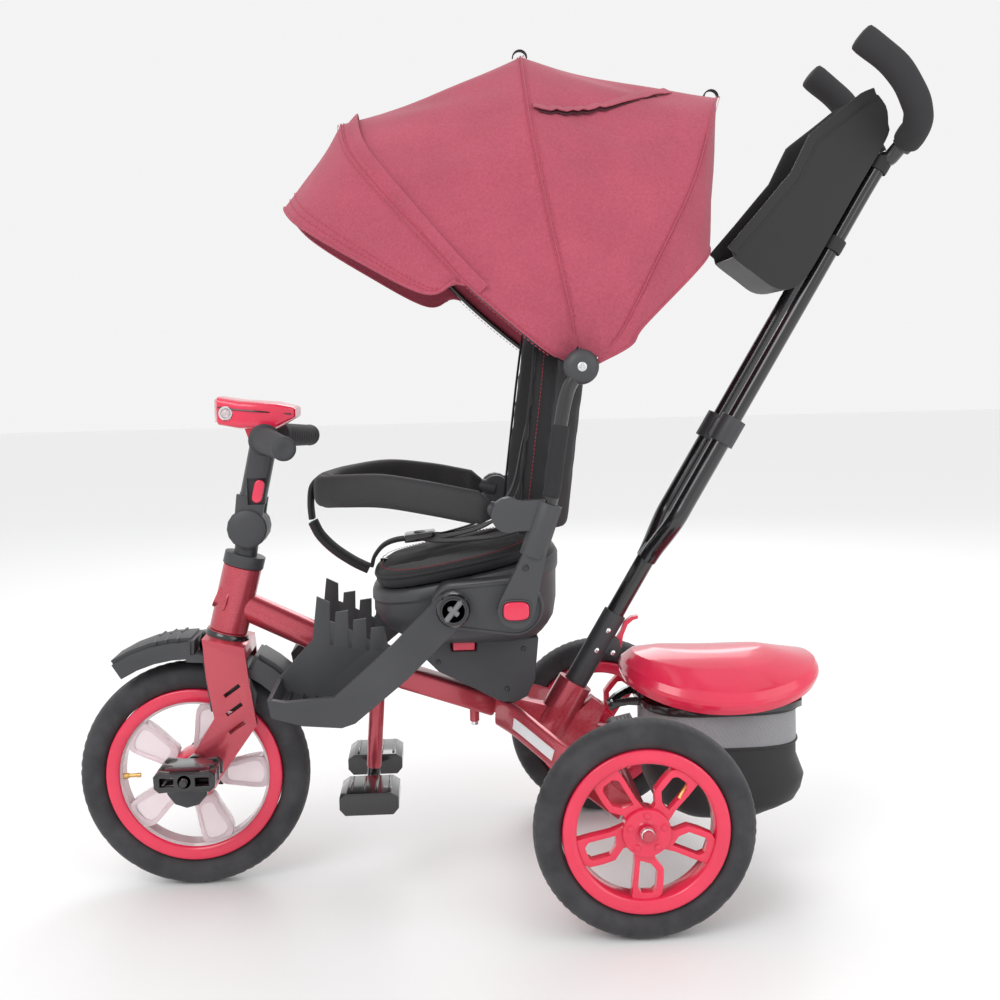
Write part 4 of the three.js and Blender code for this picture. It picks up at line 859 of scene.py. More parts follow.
def stitched(name, path, body, slot, radius=0.55, stitch=3.4, gap=1.5, material=red_thread):
    """Separate stitches along a path in millimetres."""
    mesh = bmesh.new()
    spans = [(a, b, (b - a).length) for a, b in zip(path, path[1:])]
    total = sum(length for a, b, length in spans)
    starts = [0]
    for a, b, length in spans:
        starts.append(starts[-1] + length)

    def at_length(d):
        for (a, b, length), start in zip(spans, starts):
            if d <= start + length:
                return a.lerp(b, (d - start) / max(length, 1e-6))
        return path[-1]

    d = 0.5
    while d + stitch < total:
        ends = [at_length(d + stitch * f) for f in (0, 0.5, 1)]
        piped(mesh, ends, [radius * 0.5, radius, radius * 0.5], 6)
        d += stitch + gap
    finished(name, mesh, material, body, slot, crease=60)


def rib_of(mesh, path, ups, half_width, half_thick, corner=0.5):
    """A flat ribbon: a rounded flat section swept along a path, wide across it, thick along ups."""
    rings = []
    for i, p in enumerate(path):
        along = (path[min(i + 1, len(path) - 1)] - path[max(i - 1, 0)]).normalized()
        up = (ups[i] - along * ups[i].dot(along)).normalized()
        across = along.cross(up)
        ring = []
        for k in range(16):
            c, s = math.cos(2 * math.pi * (k + 0.5) / 16), math.sin(2 * math.pi * (k + 0.5) / 16)
            side = math.copysign(abs(c) ** corner, c) * half_width
            height = math.copysign(abs(s) ** corner, s) * half_thick
            ring.append(spot(*(p + across * side + up * height)))
        rings.append(ring)
    skinned(mesh, rings)


# ------------------------------------------------------------------ seat cushion
# A thick black padded mat on the pan: crowned, piped round its edge, tufted in two channels, and held by
# a press stud near its front.


def in_mm(point):
    return Vector(((point.x - spot(0, 0, 0).x) * 1000, point.y * 1000, point.z * 1000))


def puffed(piece, pressure, reach_mm, sweeps=20, voxel=0.005):
    """Air fills the closed shape for a few frames, and the swelling is kept and capped."""
    remesh = piece.modifiers.new("even", "REMESH")
    remesh.mode = "VOXEL"
    remesh.voxel_size = voxel
    with bpy.context.temp_override(object=piece, active_object=piece, selected_objects=[piece]):
        bpy.ops.object.modifier_apply(modifier="even")
    rest = [v.co.copy() for v in piece.data.vertices]
    cloth = piece.modifiers.new("air", "CLOTH")
    cloth.settings.quality = 4
    cloth.settings.mass = 0.2
    cloth.settings.tension_stiffness = 25
    cloth.settings.compression_stiffness = 25
    cloth.settings.bending_stiffness = 1.5
    cloth.settings.use_pressure = True
    cloth.settings.uniform_pressure_force = pressure
    cloth.settings.effector_weights.gravity = 0
    cloth.point_cache.frame_start = 1
    cloth.point_cache.frame_end = sweeps
    for frame_number in range(1, sweeps + 1):
        bpy.context.scene.frame_set(frame_number)
    settled = piece.evaluated_get(bpy.context.evaluated_depsgraph_get()).to_mesh()
    ends = [v.co.copy() for v in settled.vertices]
    piece.modifiers.remove(cloth)
    bpy.context.scene.frame_set(1)
    cap = reach_mm / 1000
    for v, start, end in zip(piece.data.vertices, rest, ends):
        move = end - start
        if move.length > cap:
            move *= cap / move.length
        v.co = start + move
    for polygon in piece.data.polygons:
        polygon.use_smooth = True


def cushion_height(x, y):
    crown = 5.5 * (1 - (y / 130) ** 2) - 6 * math.exp(-((abs(y) - 52) / 7) ** 2) * min(1, (x + 316) / 40)
    return seat_height(x) + 17 + crown


pad = bmesh.new()
rings = [
    seat_ring(-300, -122, 112, lambda x: seat_height(x) - 2),
    seat_ring(-311, -112, 124, lambda x: seat_height(x) - 1),
    seat_ring(-315, -108.5, 128, lambda x: seat_height(x) + 4),
    seat_ring(-316, -108, 129, lambda x: seat_height(x) + 9),
    seat_ring(-314, -109.5, 127.5, lambda x: seat_height(x) + 14),
    seat_ring(-309, -113, 122.5, lambda x: seat_height(x) + 18),
]
for shrink in (0.92, 0.82, 0.7, 0.56, 0.42, 0.28, 0.14):
    ring = []
    for p in seat_ring(-309, -113, 122.5, seat_height):
        x, y = (p.x - spot(0, 0, 0).x) * 1000, p.y * 1000
        x, y = -211 + (x + 211) * shrink, y * shrink
        ring.append(spot(x, y, cushion_height(x, y) + 0.5))
    rings.append(ring)
skinned(pad, rings)
cushion = finished("seat_mat", pad, black_cloth, "seat", "black_fabric", "seat_cushion", crease=60)
rim_path = [in_mm(p) for p in seat_ring(-316, -108, 129, lambda x: seat_height(x) + 12.5)]
welt = bmesh.new()
piped(welt, rim_path + rim_path[:1], 1.9, 10)
finished("seat_mat_welt", welt, black_cloth, "seat", "black_fabric")
inner_path = [Vector((-211 + (p.x + 211) * 0.93, p.y * 0.93,
                      cushion_height(-211 + (p.x + 211) * 0.93, p.y * 0.93) + 0.8))
              for p in rim_path]
stitched("seat_mat_stitches", inner_path, "seat", "black_fabric")
for side, word in ((-1, "left"), (1, "right")):
    run = [Vector((x, side * 52, cushion_height(x, 52) + 0.6)) for x in range(-296, -124, 8)]
    stitched("seat_mat_channel_" + word, run, "seat", "black_fabric")
stud = bmesh.new()
piped(stud, [(-306, 0, cushion_height(-306, 0) + d) for d in (-2, 1.6, 2.4, 2.6)], [5, 5, 4, 2], 24)
finished("seat_mat_stud", stud, gloss_black, "seat", "black_fabric")

# ------------------------------------------------------------------ backrest
# A tall black padded back with wings that reach forward round the child: crowned panels between two
# stitched channels, piped along the wing's front edge.


def back_line(z):
    return -72 + 0.13 * (z - 459)


def wing_reach(y):
    t = min(max((abs(y) - 60) / 86, 0), 1)
    return t * t * (3 - 2 * t)


def back_ring(z, inset=0.0):
    taper = min(max((z - 640) / 102, 0), 1)
    width = 146 * (1 - 0.16 * taper * taper * (3 - 2 * taper)) - inset
    ring = []
    steps = 36
    for k in range(steps + 1):
        y = -width + 2 * width * k / steps
        groove = 3.5 * math.exp(-((abs(y) - 66) / 5) ** 2) + 2.2 * math.exp(-((z - 600) / 6) ** 2)
        ring.append(spot(back_line(z) - 30 - 44 * wing_reach(y * 146 / width) + groove + 0.8 * inset, y, z))
    for k in range(steps + 1):
        y = width - 2 * width * k / steps
        hollow = 8 * wing_reach(y * 146 / width)
        ring.append(spot(back_line(z) - 2 - hollow - 34 * wing_reach(y * 146 / width) - 0.5 * inset, y, z))
    return ring


back = bmesh.new()
rings = [back_ring(471, 9), back_ring(474, 4), back_ring(479, 1.5)]
rings += [back_ring(479 + 13 * k, 1) for k in range(1, 20)]
rings += [back_ring(733, 2), back_ring(738, 5), back_ring(740.5, 9)]
skinned(back, rings)
backrest_pad = finished("backrest_pad", back, black_cloth, "backrest", "black_fabric", "backrest_cushion",
                        crease=60)
puffed(backrest_pad, 2.0, 3.5)
for side, word in ((-1, "left"), (1, "right")):
    edge = []
    for k in range(28):
        z = 482 + 9.2 * k
        taper = min(max((z - 640) / 102, 0), 1)
        width = 146 * (1 - 0.16 * taper * taper * (3 - 2 * taper)) + 0.5
        edge.append(Vector((back_line(z) - 55 - 8, side * width, z)))
    cord = bmesh.new()
    piped(cord, [Vector((p.x - 8, p.y * 0.995, p.z)) for p in edge], 1.7, 10)
    finished("wing_piping_" + word, cord, black_cloth, "backrest", "black_fabric")
    stitched("wing_stitches_" + word, [Vector((p.x + 4, p.y + side * 1.2, p.z)) for p in edge], "backrest",
             "black_fabric")
    tab = bmesh.new()
    rib_of(tab, [Vector((-100 + 4 * k, side * 110, 548)) for k in range(-3, 6)],
           [Vector((0, side, 0))] * 9, 14, 1.2)
    finished("harness_slot_" + word, tab, webbing, "backrest", "black_fabric")

# ------------------------------------------------------------------ harness
# Shoulder and lap webbing lying over the cushion to a square plastic buckle on a crotch pad.
web = bmesh.new()
for side in (-1, 1):
    path = flowing([(-118, side * 88, 478), (-150, side * 80, 466), (-190, side * 58, 459),
                    (-226, side * 34, 455),
                    (-250, side * 12, 456)], 6)
    rib_of(web, path, [Vector((-0.25, 0, 1))] * len(path), 12, 1.3)
    strap = flowing([(-106, side * 46, 622), (-118, side * 48, 570), (-134, side * 46, 510),
                     (-170, side * 34, 474),
                     (-226, side * 20, 458), (-250, side * 8, 457)], 6)
    rib_of(web, strap, [Vector((-0.6, 0, 0.8))] * len(strap), 10, 1.2)
finished("harness_webbing", web, webbing, "seat", "black_fabric", "harness")
buckle = bmesh.new()
plate(buckle, [curved_outline([(-278, -14), (-273, -20), (-243, -19), (-238, -12), (-238, 12), (-243, 19),
                               (-273, 20),
                               (-278, 14)])], lambda u, v: spot(u, v, 452 + 0.1 * (u + 258)),
                               Vector((0, 0, 0.010)))
ease_edges(buckle, 2.2)
finished("buckle", buckle, gloss_black, "seat", "black_fabric", crease=50)
press = bmesh.new()
piped(press, [(-258, 0, 458 + d) for d in (2, 4.6, 5.4, 5.6)], [8, 8, 6.4, 3], 32)
finished("buckle_press", press, charcoal, "seat", "black_fabric")
crotch = bmesh.new()
path = flowing([(-322, 0, 419), (-318, 0, 432), (-306, 0, 446), (-288, 0, 453), (-262, 0, 455)], 6)
rib_of(crotch, path, [Vector((-0.5, 0, 1))] * len(path), 15, 2.6)
finished("crotch_pad", crotch, black_cloth, "seat", "black_fabric")

# ------------------------------------------------------------------ back arms and recline buttons
# A charcoal arm from each pod to the guard ring's joint, with a sleeve for the canopy post; a red
# rounded-octagon button at its foot unlocks the backrest.
arm_grey = finish_of("grey arm plastic", (0.050, 0.051, 0.055), 0.5)
bumped(arm_grey, noise_on(arm_grey, 900, 3), 0.15, 0.2)
roughened(arm_grey, noise_on(arm_grey, 35, 3), 0.42, 0.56)
for side, word in ((-1, "left"), (1, "right")):
    eased_copy("back_arm_" + word, "arm_" + word, arm_grey, "backrest", "charcoal_plastic", 2)
    button = bmesh.new()
    outline = []
    for k in range(40):
        c, s = math.cos(2 * math.pi * (k + 0.5) / 40), math.sin(2 * math.pi * (k + 0.5) / 40)
        outline.append((-144 + math.copysign(abs(c) ** 0.6, c) * 15.5,
                        389 + math.copysign(abs(s) ** 0.6, s) * 11))
    near, far = sorted((side * 186, side * 194.5))
    plate(button, [outline], lambda u, v: spot(u, near, v), Vector((0, (far - near) / 1000, 0)))
    ease_edges(button, 2.4, 4)
    finished("recline_cap_" + word, button, pink_red, "recline_button_" + word, "red_plastic",
             "recline_button_" + word)
    surround = bmesh.new()
    loop = [(-144 + (u + 144) * 1.1, side * 190.8, 389 + (v - 389) * 1.12) for u, v in outline]
    piped(surround, loop + loop[:1], 1.2, 8)
    finished("recline_surround_" + word, surround, arm_grey, "backrest", "charcoal_plastic")
    screw("arm_screw_%s" % word, -132, side * 190, 440, side, 4, "backrest", gloss_black)

# ------------------------------------------------------------------ canopy posts and hubs
# Black tubes in fabric sleeves rise from the arms to a dark ball hub with a pale screw on each side.
for side, word in ((-1, "left"), (1, "right")):
    post = bmesh.new()
    piped(post, flowing([(-106, side * 178, 500), (-101, side * 178, 514), (-97, side * 178, 532),
                         (-88, side * 177, 600),
                         (-78, side * 176, 645), (-65, side * 178, 668)], 5), 8.6, 24)
    piped(post, [(-61, side * y, 674) for y in (143, 146, 172)], [4.2, 4.8, 4.8], 16)
    finished("canopy_tube_" + word, post, gloss_black, "backrest", "handle_tube", "canopy_post_" + word)
    ball = bmesh.new()
    piped(ball, [(-61, side * y, 674) for y in (169.6, 170, 173, 178, 183, 186.5, 188.4, 188.8)],
          [12, 17.5, 20, 21, 20, 16.5, 11, 6], 40)
    finished("canopy_ball_" + word, ball, charcoal, "backrest", "charcoal_plastic", crease=50)
    screw("canopy_screw_" + word, -61, side * 188, 674, side, 6, "backrest")
    sock = bmesh.new()
    piped(sock, flowing([(-100, side * 178, 522), (-97, side * 178, 534), (-92, side * 177.5, 570),
                         (-86, side * 177, 606)], 6),
          [9.6, 10.4] + [10.3] * 15 + [10.4, 9.6], 20)
    finished("post_sleeve_" + word, sock, black_cloth, "backrest", "black_fabric")

# ------------------------------------------------------------------ guard ring
# A padded ring round the child: black mesh fabric over foam on a curved bar, a stitched seam along its
# lower edge, and a webbing loop with a padded strap that clips down to the cushion.
mesh_cloth = fabric("black air mesh", (0.010, 0.010, 0.011), (0.040, 0.040, 0.043), 0.7, 130, 0.5, 0.05)
half_route = [(-170, -155, 506), (-200, -158, 513), (-243, -152, 522), (-300, -128, 530), (-350, -82, 527),
              (-376, -40, 523)]
route = half_route + [(-381, 0, 522)] + [(x, -y, z) for x, y, z in reversed(half_route)]
path = flowing(route, 6)
ring_cover = bmesh.new()
rings = []
for i, p in enumerate(path):
    along = (path[min(i + 1, len(path) - 1)] - path[max(i - 1, 0)]).normalized()
    across = along.cross(Vector((0, 0, 1))).normalized()
    ends = min(i, len(path) - 1 - i)
    swell = min(1, 0.55 + 0.15 * ends)
    ring = []
    for k in range(32):
        c, s = math.cos(2 * math.pi * k / 32), math.sin(2 * math.pi * k / 32)
        tall = math.copysign(abs(s) ** 0.75, s) * 20 * swell
        wide = math.copysign(abs(c) ** 0.75, c) * 13 * swell * (1 + 0.04 * math.sin(i * 1.1))
        ring.append(spot(*(p + across * wide + Vector((0, 0, tall)))))
    rings.append(ring)
skinned(ring_cover, rings)
guard = finished("guard_cover", ring_cover, mesh_cloth, "guard_bar", "black_fabric", "guard_bar", crease=60)
seam = [p + Vector((0, 0, -20.2)) for p in path[4:-4]]
welt = bmesh.new()
piped(welt, seam, 1.1, 8)
finished("guard_seam", welt, black_cloth, "guard_bar", "black_fabric")
stitched("guard_stitches", [p + (path[i + 5] - path[i + 3]).normalized().cross(Vector((0, 0, 1))) * 12.2
                            + Vector((0, 0, -13)) for i, p in enumerate(path[4:-6])], "guard_bar",
                            "black_fabric")
for side, word in ((-1, "left"), (1, "right")):
    eye = bmesh.new()
    piped(eye, [(-150, side * y, 502) for y in (150, 152, 158, 164, 166)], [17, 19, 19.4, 19, 17], 40)
    piped(eye, [(-152, side * 158, 502), (-164, side * 157, 505), (-176, side * 156, 508)], [12, 11, 9], 20)
    finished("guard_eye_" + word, eye, charcoal, "guard_bar", "charcoal_plastic")
loop = bmesh.new()
path = flowing([(-366, 0, 507), (-364, 0, 526), (-372, 0, 537.5), (-384, 0, 537.5), (-396, 0, 526),
                (-399, 0, 505),
                (-398, 0, 484)], 6)
rib_of(loop, path, [(p - Vector((-381, 0, 512))).normalized() for p in path], 17, 4.2, 0.8)
finished("guard_loop", loop, webbing, "guard_bar", "black_fabric")
strap = bmesh.new()
path = flowing([(-397, 0, 480), (-388, 0, 462), (-370, 0, 443), (-346, 0, 426), (-326, 0, 415.5)], 6)
rib_of(strap, path, [Vector((-0.7, 0, -0.7))] * len(path), 17.5, 6.5, 0.8)
finished("crotch_strap_pad", strap, black_cloth, "seat", "black_fabric", "crotch_strap")
for side in (-1, 1):
    stitched("crotch_stitches_%d" % (side + 2), [p + Vector((-3.4, side * 13.5, -3.4)) for p in path], "seat",
             "black_fabric")

# ------------------------------------------------------------------ canopy hoops and cloth
# A heather red-pink melange sheet stretched over three black hoops: a front bay, a rear bay with a hem
# panel behind it, and a long visor. Topstitched seams follow each hoop; under each vent flap a dark red strip
# is painted shade in the slit.
EYE_Y = {"front": 147, "middle": 156, "rear": 165}
HOOP_HALVES = {
    "front": [(-76, 147, 682), (-109, 166, 702), (-189, 165, 772), (-268, 148, 858), (-324, 98, 930),
              (-338, 0, 982)],
    "middle": [(-64, 156, 700), (-75, 168, 752), (-98, 158, 868), (-111, 118, 967), (-113, 0, 1061)],
    "rear": [(-42, 165, 688), (-17, 169, 712), (23, 163, 785), (76, 138, 885), (111, 88, 975),
             (132, 0, 1007)],
}
HEM_HALF = [(-42, 168, 680), (-4, 171, 700), (12, 168, 722), (92, 118, 796), (108, 62, 822), (112, 0, 832)]
VISOR_HALF = [(-202, 166, 776), (-238, 154, 764), (-318, 128, 806), (-390, 90, 852), (-412, 0, 881)]
melange = fabric("heather canopy cloth", (0.30, 0.022, 0.055), (0.62, 0.13, 0.19), 0.85, 300, 0.16, 0.12, 340)
# A very dark red cloth, used only as painted shade in the vent slits under the flaps.
painted_slit_shade = fabric("painted slit shade cloth", (0.06, 0.006, 0.014), (0.11, 0.014, 0.028), 0.85, 300, 0.16, 0.05)
pink_thread = finish_of("canopy thread", (0.50, 0.05, 0.10), 0.7)
bumped(pink_thread, noise_on(pink_thread, 1500, 2), 0.3, 0.1)
roughened(pink_thread, noise_on(pink_thread, 60, 2), 0.62, 0.8)
HEART = Vector((-90, 0, 760))


def evenly(fine, count):
    """Evenly spaced points along a fine line."""
    lengths = [0]
    for a, b in zip(fine, fine[1:]):
        lengths.append(lengths[-1] + (b - a).length)
    even = []
    j = 0
    for k in range(count + 1):
        want = lengths[-1] * k / count
        while j < len(fine) - 2 and lengths[j + 1] < want:
            j += 1
        share = (want - lengths[j]) / max(lengths[j + 1] - lengths[j], 1e-6)
        even.append(fine[j].lerp(fine[j + 1], min(max(share, 0), 1)))
    return even


def whole_curve(half, count):
    """A curve through a half and its mirror image, as evenly spaced points."""
    points = [(x, -y, z) for x, y, z in half] + [(x, y, z) for x, y, z in reversed(half[:-1])]
    return evenly(flowing(points, 12), count)


def lifted(point, by):
    return point + (point - HEART).normalized() * by


for which, body in (("front", "canopy_front"), ("middle", "canopy_middle"), ("rear", "backrest")):
    hoop = bmesh.new()
    half = HOOP_HALVES[which]
    eye_y = EYE_Y[which]
    near = [(-61 - 4, eye_y, 674 + 3)] if which != "rear" else [(-57, eye_y, 677)]
    piped(hoop, whole_curve(near + half, 110), 3.5, 12)
    for side in (-1, 1):
        piped(hoop, [(-61, side * (eye_y + d), 674) for d in (-4, -3, 0, 3, 4)], [7.6, 8.6, 8.8, 8.6, 7.6],
              24)
    finished("hoop_" + which, hoop, gloss_black, body, "handle_tube", "canopy_hoop_" + which)

CLOTH_LIFT = 5.2
CLOTH_MM = 1.2
WELD_M = 0.00005
VISOR_ROOT_Z = 766


def cloth_bay(mesh, first, last, bays, sag_mm, lift=CLOTH_LIFT, wrinkle=0.8):
    """A sheet between two curves, drawn in between them, with faint folds that run from hoop to hoop."""
    uv = mesh.loops.layers.uv.verify()
    grid = []
    for i in range(bays + 1):
        t = i / bays
        row = []
        for j, (a, b) in enumerate(zip(first, last)):
            s = j / (len(first) - 1)
            slack = sag_mm * math.sin(math.pi * t) * math.sin(math.pi * s) ** 0.6
            fold = wrinkle * math.sin(math.pi * t) * (math.sin(s * 61 + 5 * t)
                                                      + 0.8 * math.sin(s * 37 - 6 * t + 1)
                                                      + 0.5 * math.sin(s * 97 + 9 * t))
            row.append(mesh.verts.new(spot(*lifted(a.lerp(b, t), lift - slack + fold))))
        grid.append(row)
    for i in range(bays):
        for j in range(len(first) - 1):
            face = mesh.faces.new([grid[i][j], grid[i][j + 1], grid[i + 1][j + 1], grid[i + 1][j]])
            for loop_corner, (u, v) in zip(face.loops, ((i, j), (i, j + 1), (i + 1, j + 1), (i + 1, j))):
                loop_corner[uv].uv = (u / bays, v / (len(first) - 1))
    return grid


def cloth_thickness(mesh, mm):
    bmesh.ops.remove_doubles(mesh, verts=mesh.verts, dist=WELD_M)
    bmesh.ops.recalc_face_normals(mesh, faces=mesh.faces)
    high = max(mesh.faces, key=lambda f: f.calc_center_median().z)
    if high.normal.z < 0:
        bmesh.ops.reverse_faces(mesh, faces=mesh.faces)
    bmesh.ops.solidify(mesh, geom=mesh.faces[:], thickness=mm / 1000)


COUNT = 160
front_curve = whole_curve(HOOP_HALVES["front"], COUNT)
middle_curve = whole_curve(HOOP_HALVES["middle"], COUNT)
rear_curve = whole_curve(HOOP_HALVES["rear"], COUNT)
hem_curve = whole_curve(HEM_HALF, COUNT)

bay = bmesh.new()
cloth_bay(bay, front_curve, middle_curve, 24, 7, wrinkle=1.5)
cloth_thickness(bay, CLOTH_MM)
front_cloth = finished("canopy_cloth_bay_front", bay, melange, None, "canopy_fabric",
                       "canopy_cloth_front", crease=60)
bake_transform(front_cloth)

bay = bmesh.new()
cloth_bay(bay, middle_curve, rear_curve, 24, 7, wrinkle=1.4)
cloth_bay(bay, rear_curve, hem_curve, 8, -3)
cloth_thickness(bay, CLOTH_MM)
rear_cloth = finished("canopy_cloth_bay_rear", bay, melange, None, "canopy_fabric",
                      "canopy_cloth_rear", crease=60)
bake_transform(rear_cloth)

# ------------------------------------------------------------------ visor
# A curved peak sewn to the front hoop, stiffened along its free edge by a bound, topstitched hem.
visor_root = evenly([p for p in front_curve if p.z > VISOR_ROOT_Z], COUNT)
visor_edge = whole_curve(VISOR_HALF, COUNT)
peak = bmesh.new()
cloth_bay(peak, visor_root, visor_edge, 12, 3.5, CLOTH_LIFT + 0.4, 0.5)
cloth_thickness(peak, 1.8)
visor = finished("visor_peak", peak, melange, "canopy_front", "canopy_fabric", "canopy_visor", crease=60)
hem = bmesh.new()
piped(hem, [lifted(p, CLOTH_LIFT) for p in visor_edge], 2.1, 10)
finished("visor_hem", hem, melange, "canopy_front", "canopy_fabric")
for row, share in enumerate((0.9, 0.82)):
    line = [lifted(a.lerp(b, share), CLOTH_LIFT + 0.6 - 1.4 * (1 - share))
            for a, b in zip(visor_root, visor_edge)][2:-2]
    stitched("visor_stitches_%d" % (row + 1), line, "canopy_front", "canopy_fabric", 0.5, 4, 1.8, pink_thread)

# ------------------------------------------------------------------ canopy seams, vent and loops
# A rounded welt with topstitching along each hoop, a folded band where the visor is sewn on, a vent
# flap across the rear bay, and small webbing loops on the ridge.
for which, curve, body in (("front", front_curve, "canopy_front"), ("middle", middle_curve, "canopy_middle"),
                           ("rear", rear_curve, "backrest")):
    welt = bmesh.new()
    piped(welt, [lifted(p, CLOTH_LIFT + 0.7) for p in curve[3:-3]], 1.0, 10)
    finished("canopy_welt_" + which, welt, melange, body, "canopy_fabric")
    for step in (-1, 1):
        shift = Vector((3.6 * step, 0, 1.2 * step))
        stitched("canopy_stitches_%s_%d" % (which, step + 2),
                 [lifted(p + shift, CLOTH_LIFT + 0.7) for p in curve[4:-4]],
                 body, "canopy_fabric", 0.5, 4, 1.8, pink_thread)
for side, word in ((-1, "left"), (1, "right")):
    flap = []
    for k in range(25):
        across = 0.03 + 0.72 * k / 24
        step = COUNT // 2 + side * round(COUNT * (0.155 - 0.11 * (k / 24) ** 2))
        flap.append(lifted(middle_curve[step].lerp(rear_curve[step], across),
                           CLOTH_LIFT + 3 - 7 * math.sin(math.pi * across)))
    # A dark red cloth strip tucked under the flap's edge: painted shade standing for the shadow inside the
    # vent slit.
    shade = bmesh.new()
    rib_of(shade, [lifted(p, -1.6) + Vector((0, side * 3, -4)) for p in flap[1:-2]],
           [(p - HEART).normalized() for p in flap[1:-2]], 4, 0.7)
    finished("vent_slit_shade_" + word, shade, painted_slit_shade, "backrest", "canopy_fabric")
    vent = bmesh.new()
    rib_of(vent, flap, [(p - HEART).normalized() for p in flap], 7, 0.9)
    finished("vent_flap_" + word, vent, melange, "backrest", "canopy_fabric")
fold_line = [lifted(a.lerp(b, 0.07), CLOTH_LIFT + 1.6) for a, b in zip(front_curve, middle_curve)][22:-22]
band = bmesh.new()
rib_of(band, fold_line, [(p - HEART).normalized() for p in fold_line], 9, 1.1)
finished("visor_fold_band", band, melange, "canopy_front", "canopy_fabric")
hem = bmesh.new()
piped(hem, [lifted(p, CLOTH_LIFT) for p in hem_curve], 1.7, 10)
finished("canopy_rear_hem", hem, melange, "backrest", "canopy_fabric")
for i, (x, z, body) in enumerate(((-114, 1062, "canopy_middle"), (131, 1010, "backrest"))):
    tag = bmesh.new()
    arch = [Vector((x + 9 * math.cos(math.pi * k / 12), 0,
                    z + 4 + 9 * math.sin(math.pi * k / 12))) for k in range(13)]
    rib_of(tag, arch, [(p - Vector((x, 0, z + 4))).normalized() for p in arch], 6, 0.8)
    finished("canopy_loop_%d" % (i + 1), tag, webbing, body, "canopy_fabric")

# ------------------------------------------------------------------ foot peg link and spare foot pegs
# A red link under the beam carries two fold-down pegs: a red rod and black open pads with tread bars.
eased_copy("peg_link", "peg_bracket", gloss_black, "frame", "black_plastic", 1.6)
eased_copy("foot_pegs", "peg_pads", gloss_black, "foot_pegs", "black_plastic", 2.4)
rod = bmesh.new()
piped(rod, [(-320.6, 0, 246), (-321, 0, 241), (-328, 0, 150), (-328.4, 0, 145)], [8, 10, 10, 8], 24)
finished("peg_rod", rod, raspberry, "foot_pegs", "black_plastic")
for side, word in ((-1, "left"), (1, "right")):
    for x in (-352, -336, -320, -304):
        bar = bmesh.new()
        piped(bar, [(x, side * y, 150.6) for y in (50, 52, 112, 114)], [0.4, 1.7, 1.7, 0.4], 10)
        finished("peg_tread_%s_%d" % (word, -x), bar, gloss_black, "foot_pegs", "black_plastic")
    screw("peg_screw_" + word, -320, side * 31, 254, side, 6.5, "foot_pegs")
lug = bmesh.new()
piped(lug, [(-192, 0, z) for z in (228, 212, 206, 205)], [6.4, 6.4, 6.4, 5.4], 24)
finished("beam_lug", lug, raspberry, "frame", "frame_paint")
pin = bmesh.new()
piped(pin, [(-192, 0, z) for z in (207, 201, 200)], [4.8, 4.8, 3.6], 20)
finished("beam_pin", pin, chrome, "frame", "axle_steel")

# ------------------------------------------------------------------ push handle
# A charcoal sleeve with silver rivets and a red lever; gloss black twin tubes spread, pass through a
# clamp and bend to two curled foam grips.


def on_handle(s, y=0.0, lean=math.radians(30.6)):
    return Vector((-54 + s * math.sin(lean), y, 257 + s * math.cos(lean)))


eased_copy("handle_sleeve", "sleeve", charcoal, "frame", "charcoal_plastic", 1.6)
eased_copy("release_lever", "lever", pink_red, "release_lever", "red_plastic", 1.2)
eased_copy("handle_clamp", "tube_clamp", charcoal, "frame", "charcoal_plastic", 2.2)
for i, (x, z) in enumerate(((-12.6, 325), (-28.4, 299), (-6.8, 295))):
    for side in (-1, 1):
        rivet = bmesh.new()
        piped(rivet, [(x, side * y, z) for y in (10.5, 15.2, 16.3, 16.6)], [3.6, 3.6, 2.6, 1], 20)
        finished("rivet_%d_%d" % (i + 1, side + 2), rivet, chrome, "frame", "axle_steel")
lower = bmesh.new()
piped(lower, [on_handle(s) for s in (42, 60, 120, 190, 206)], [12.3, 12.3, 12.3, 12.3, 11], 28)
for side in (-1, 1):
    piped(lower, flowing([on_handle(188, side * 9), on_handle(205, side * 15), on_handle(228, side * 30),
                          on_handle(252, side * 41.5), on_handle(280, side * 42), on_handle(340, side * 42),
                          on_handle(396, side * 42)], 6), 12.2, 24)
finished("lower_tubes", lower, gloss_black, "frame", "handle_tube", "lower_handle")
upper = bmesh.new()
for side in (-1, 1):
    piped(upper, flowing([on_handle(345, side * 42), on_handle(420, side * 42), on_handle(600, side * 42),
                          on_handle(760, side * 43), Vector((350, side * 49, 928)),
                          Vector((362, side * 60, 945)),
                          Vector((367, side * 74, 956))], 8), 9.8, 24)
piped(upper, [on_handle(700, y) for y in (-42, -38, 38, 42)], 6.8, 20)
finished("upper_tubes", upper, gloss_black, "push_handle", "handle_tube", "upper_handle")

foam = finish_of("grip foam", (0.03, 0.03, 0.032), 0.93)
bumped(foam, noise_on(foam, 1600, 4), 0.45, 0.3)
roughened(foam, noise_on(foam, 40, 4), 0.86, 0.98)
for side, word in ((-1, "left"), (1, "right")):
    curl = flowing([(366, side * 62, 946), (369, side * 88, 962), (361, side * 104, 986),
                    (336, side * 107, 1026),
                    (293, side * 105, 1062)], 8)
    curl = [curl[0].lerp(curl[1], 0.2)] + curl
    curl += [curl[-1] + (curl[-1] - curl[-2]).normalized() * d for d in (2, 3.2)]
    thick = [15.5, 17.4] + [17.8 + 0.25 * math.sin(k * 0.9) for k in range(len(curl) - 5)] + [17.2, 14.5, 8]
    grip = bmesh.new()
    piped(grip, curl, thick, 32)
    finished("foam_grip_" + word, grip, foam, "push_handle", "grip_foam", "handle_grip_" + word, crease=50)
    collar = bmesh.new()
    at_tube = [Vector((350, side * 49, 928)).lerp(Vector((366, side * 62, 946)), t) for t in (0.55, 0.6, 0.95,
                                                                                              1)]
    piped(collar, at_tube, [11, 13, 13.6, 12], 24)
    finished("grip_collar_" + word, collar, charcoal, "push_handle", "grip_foam")

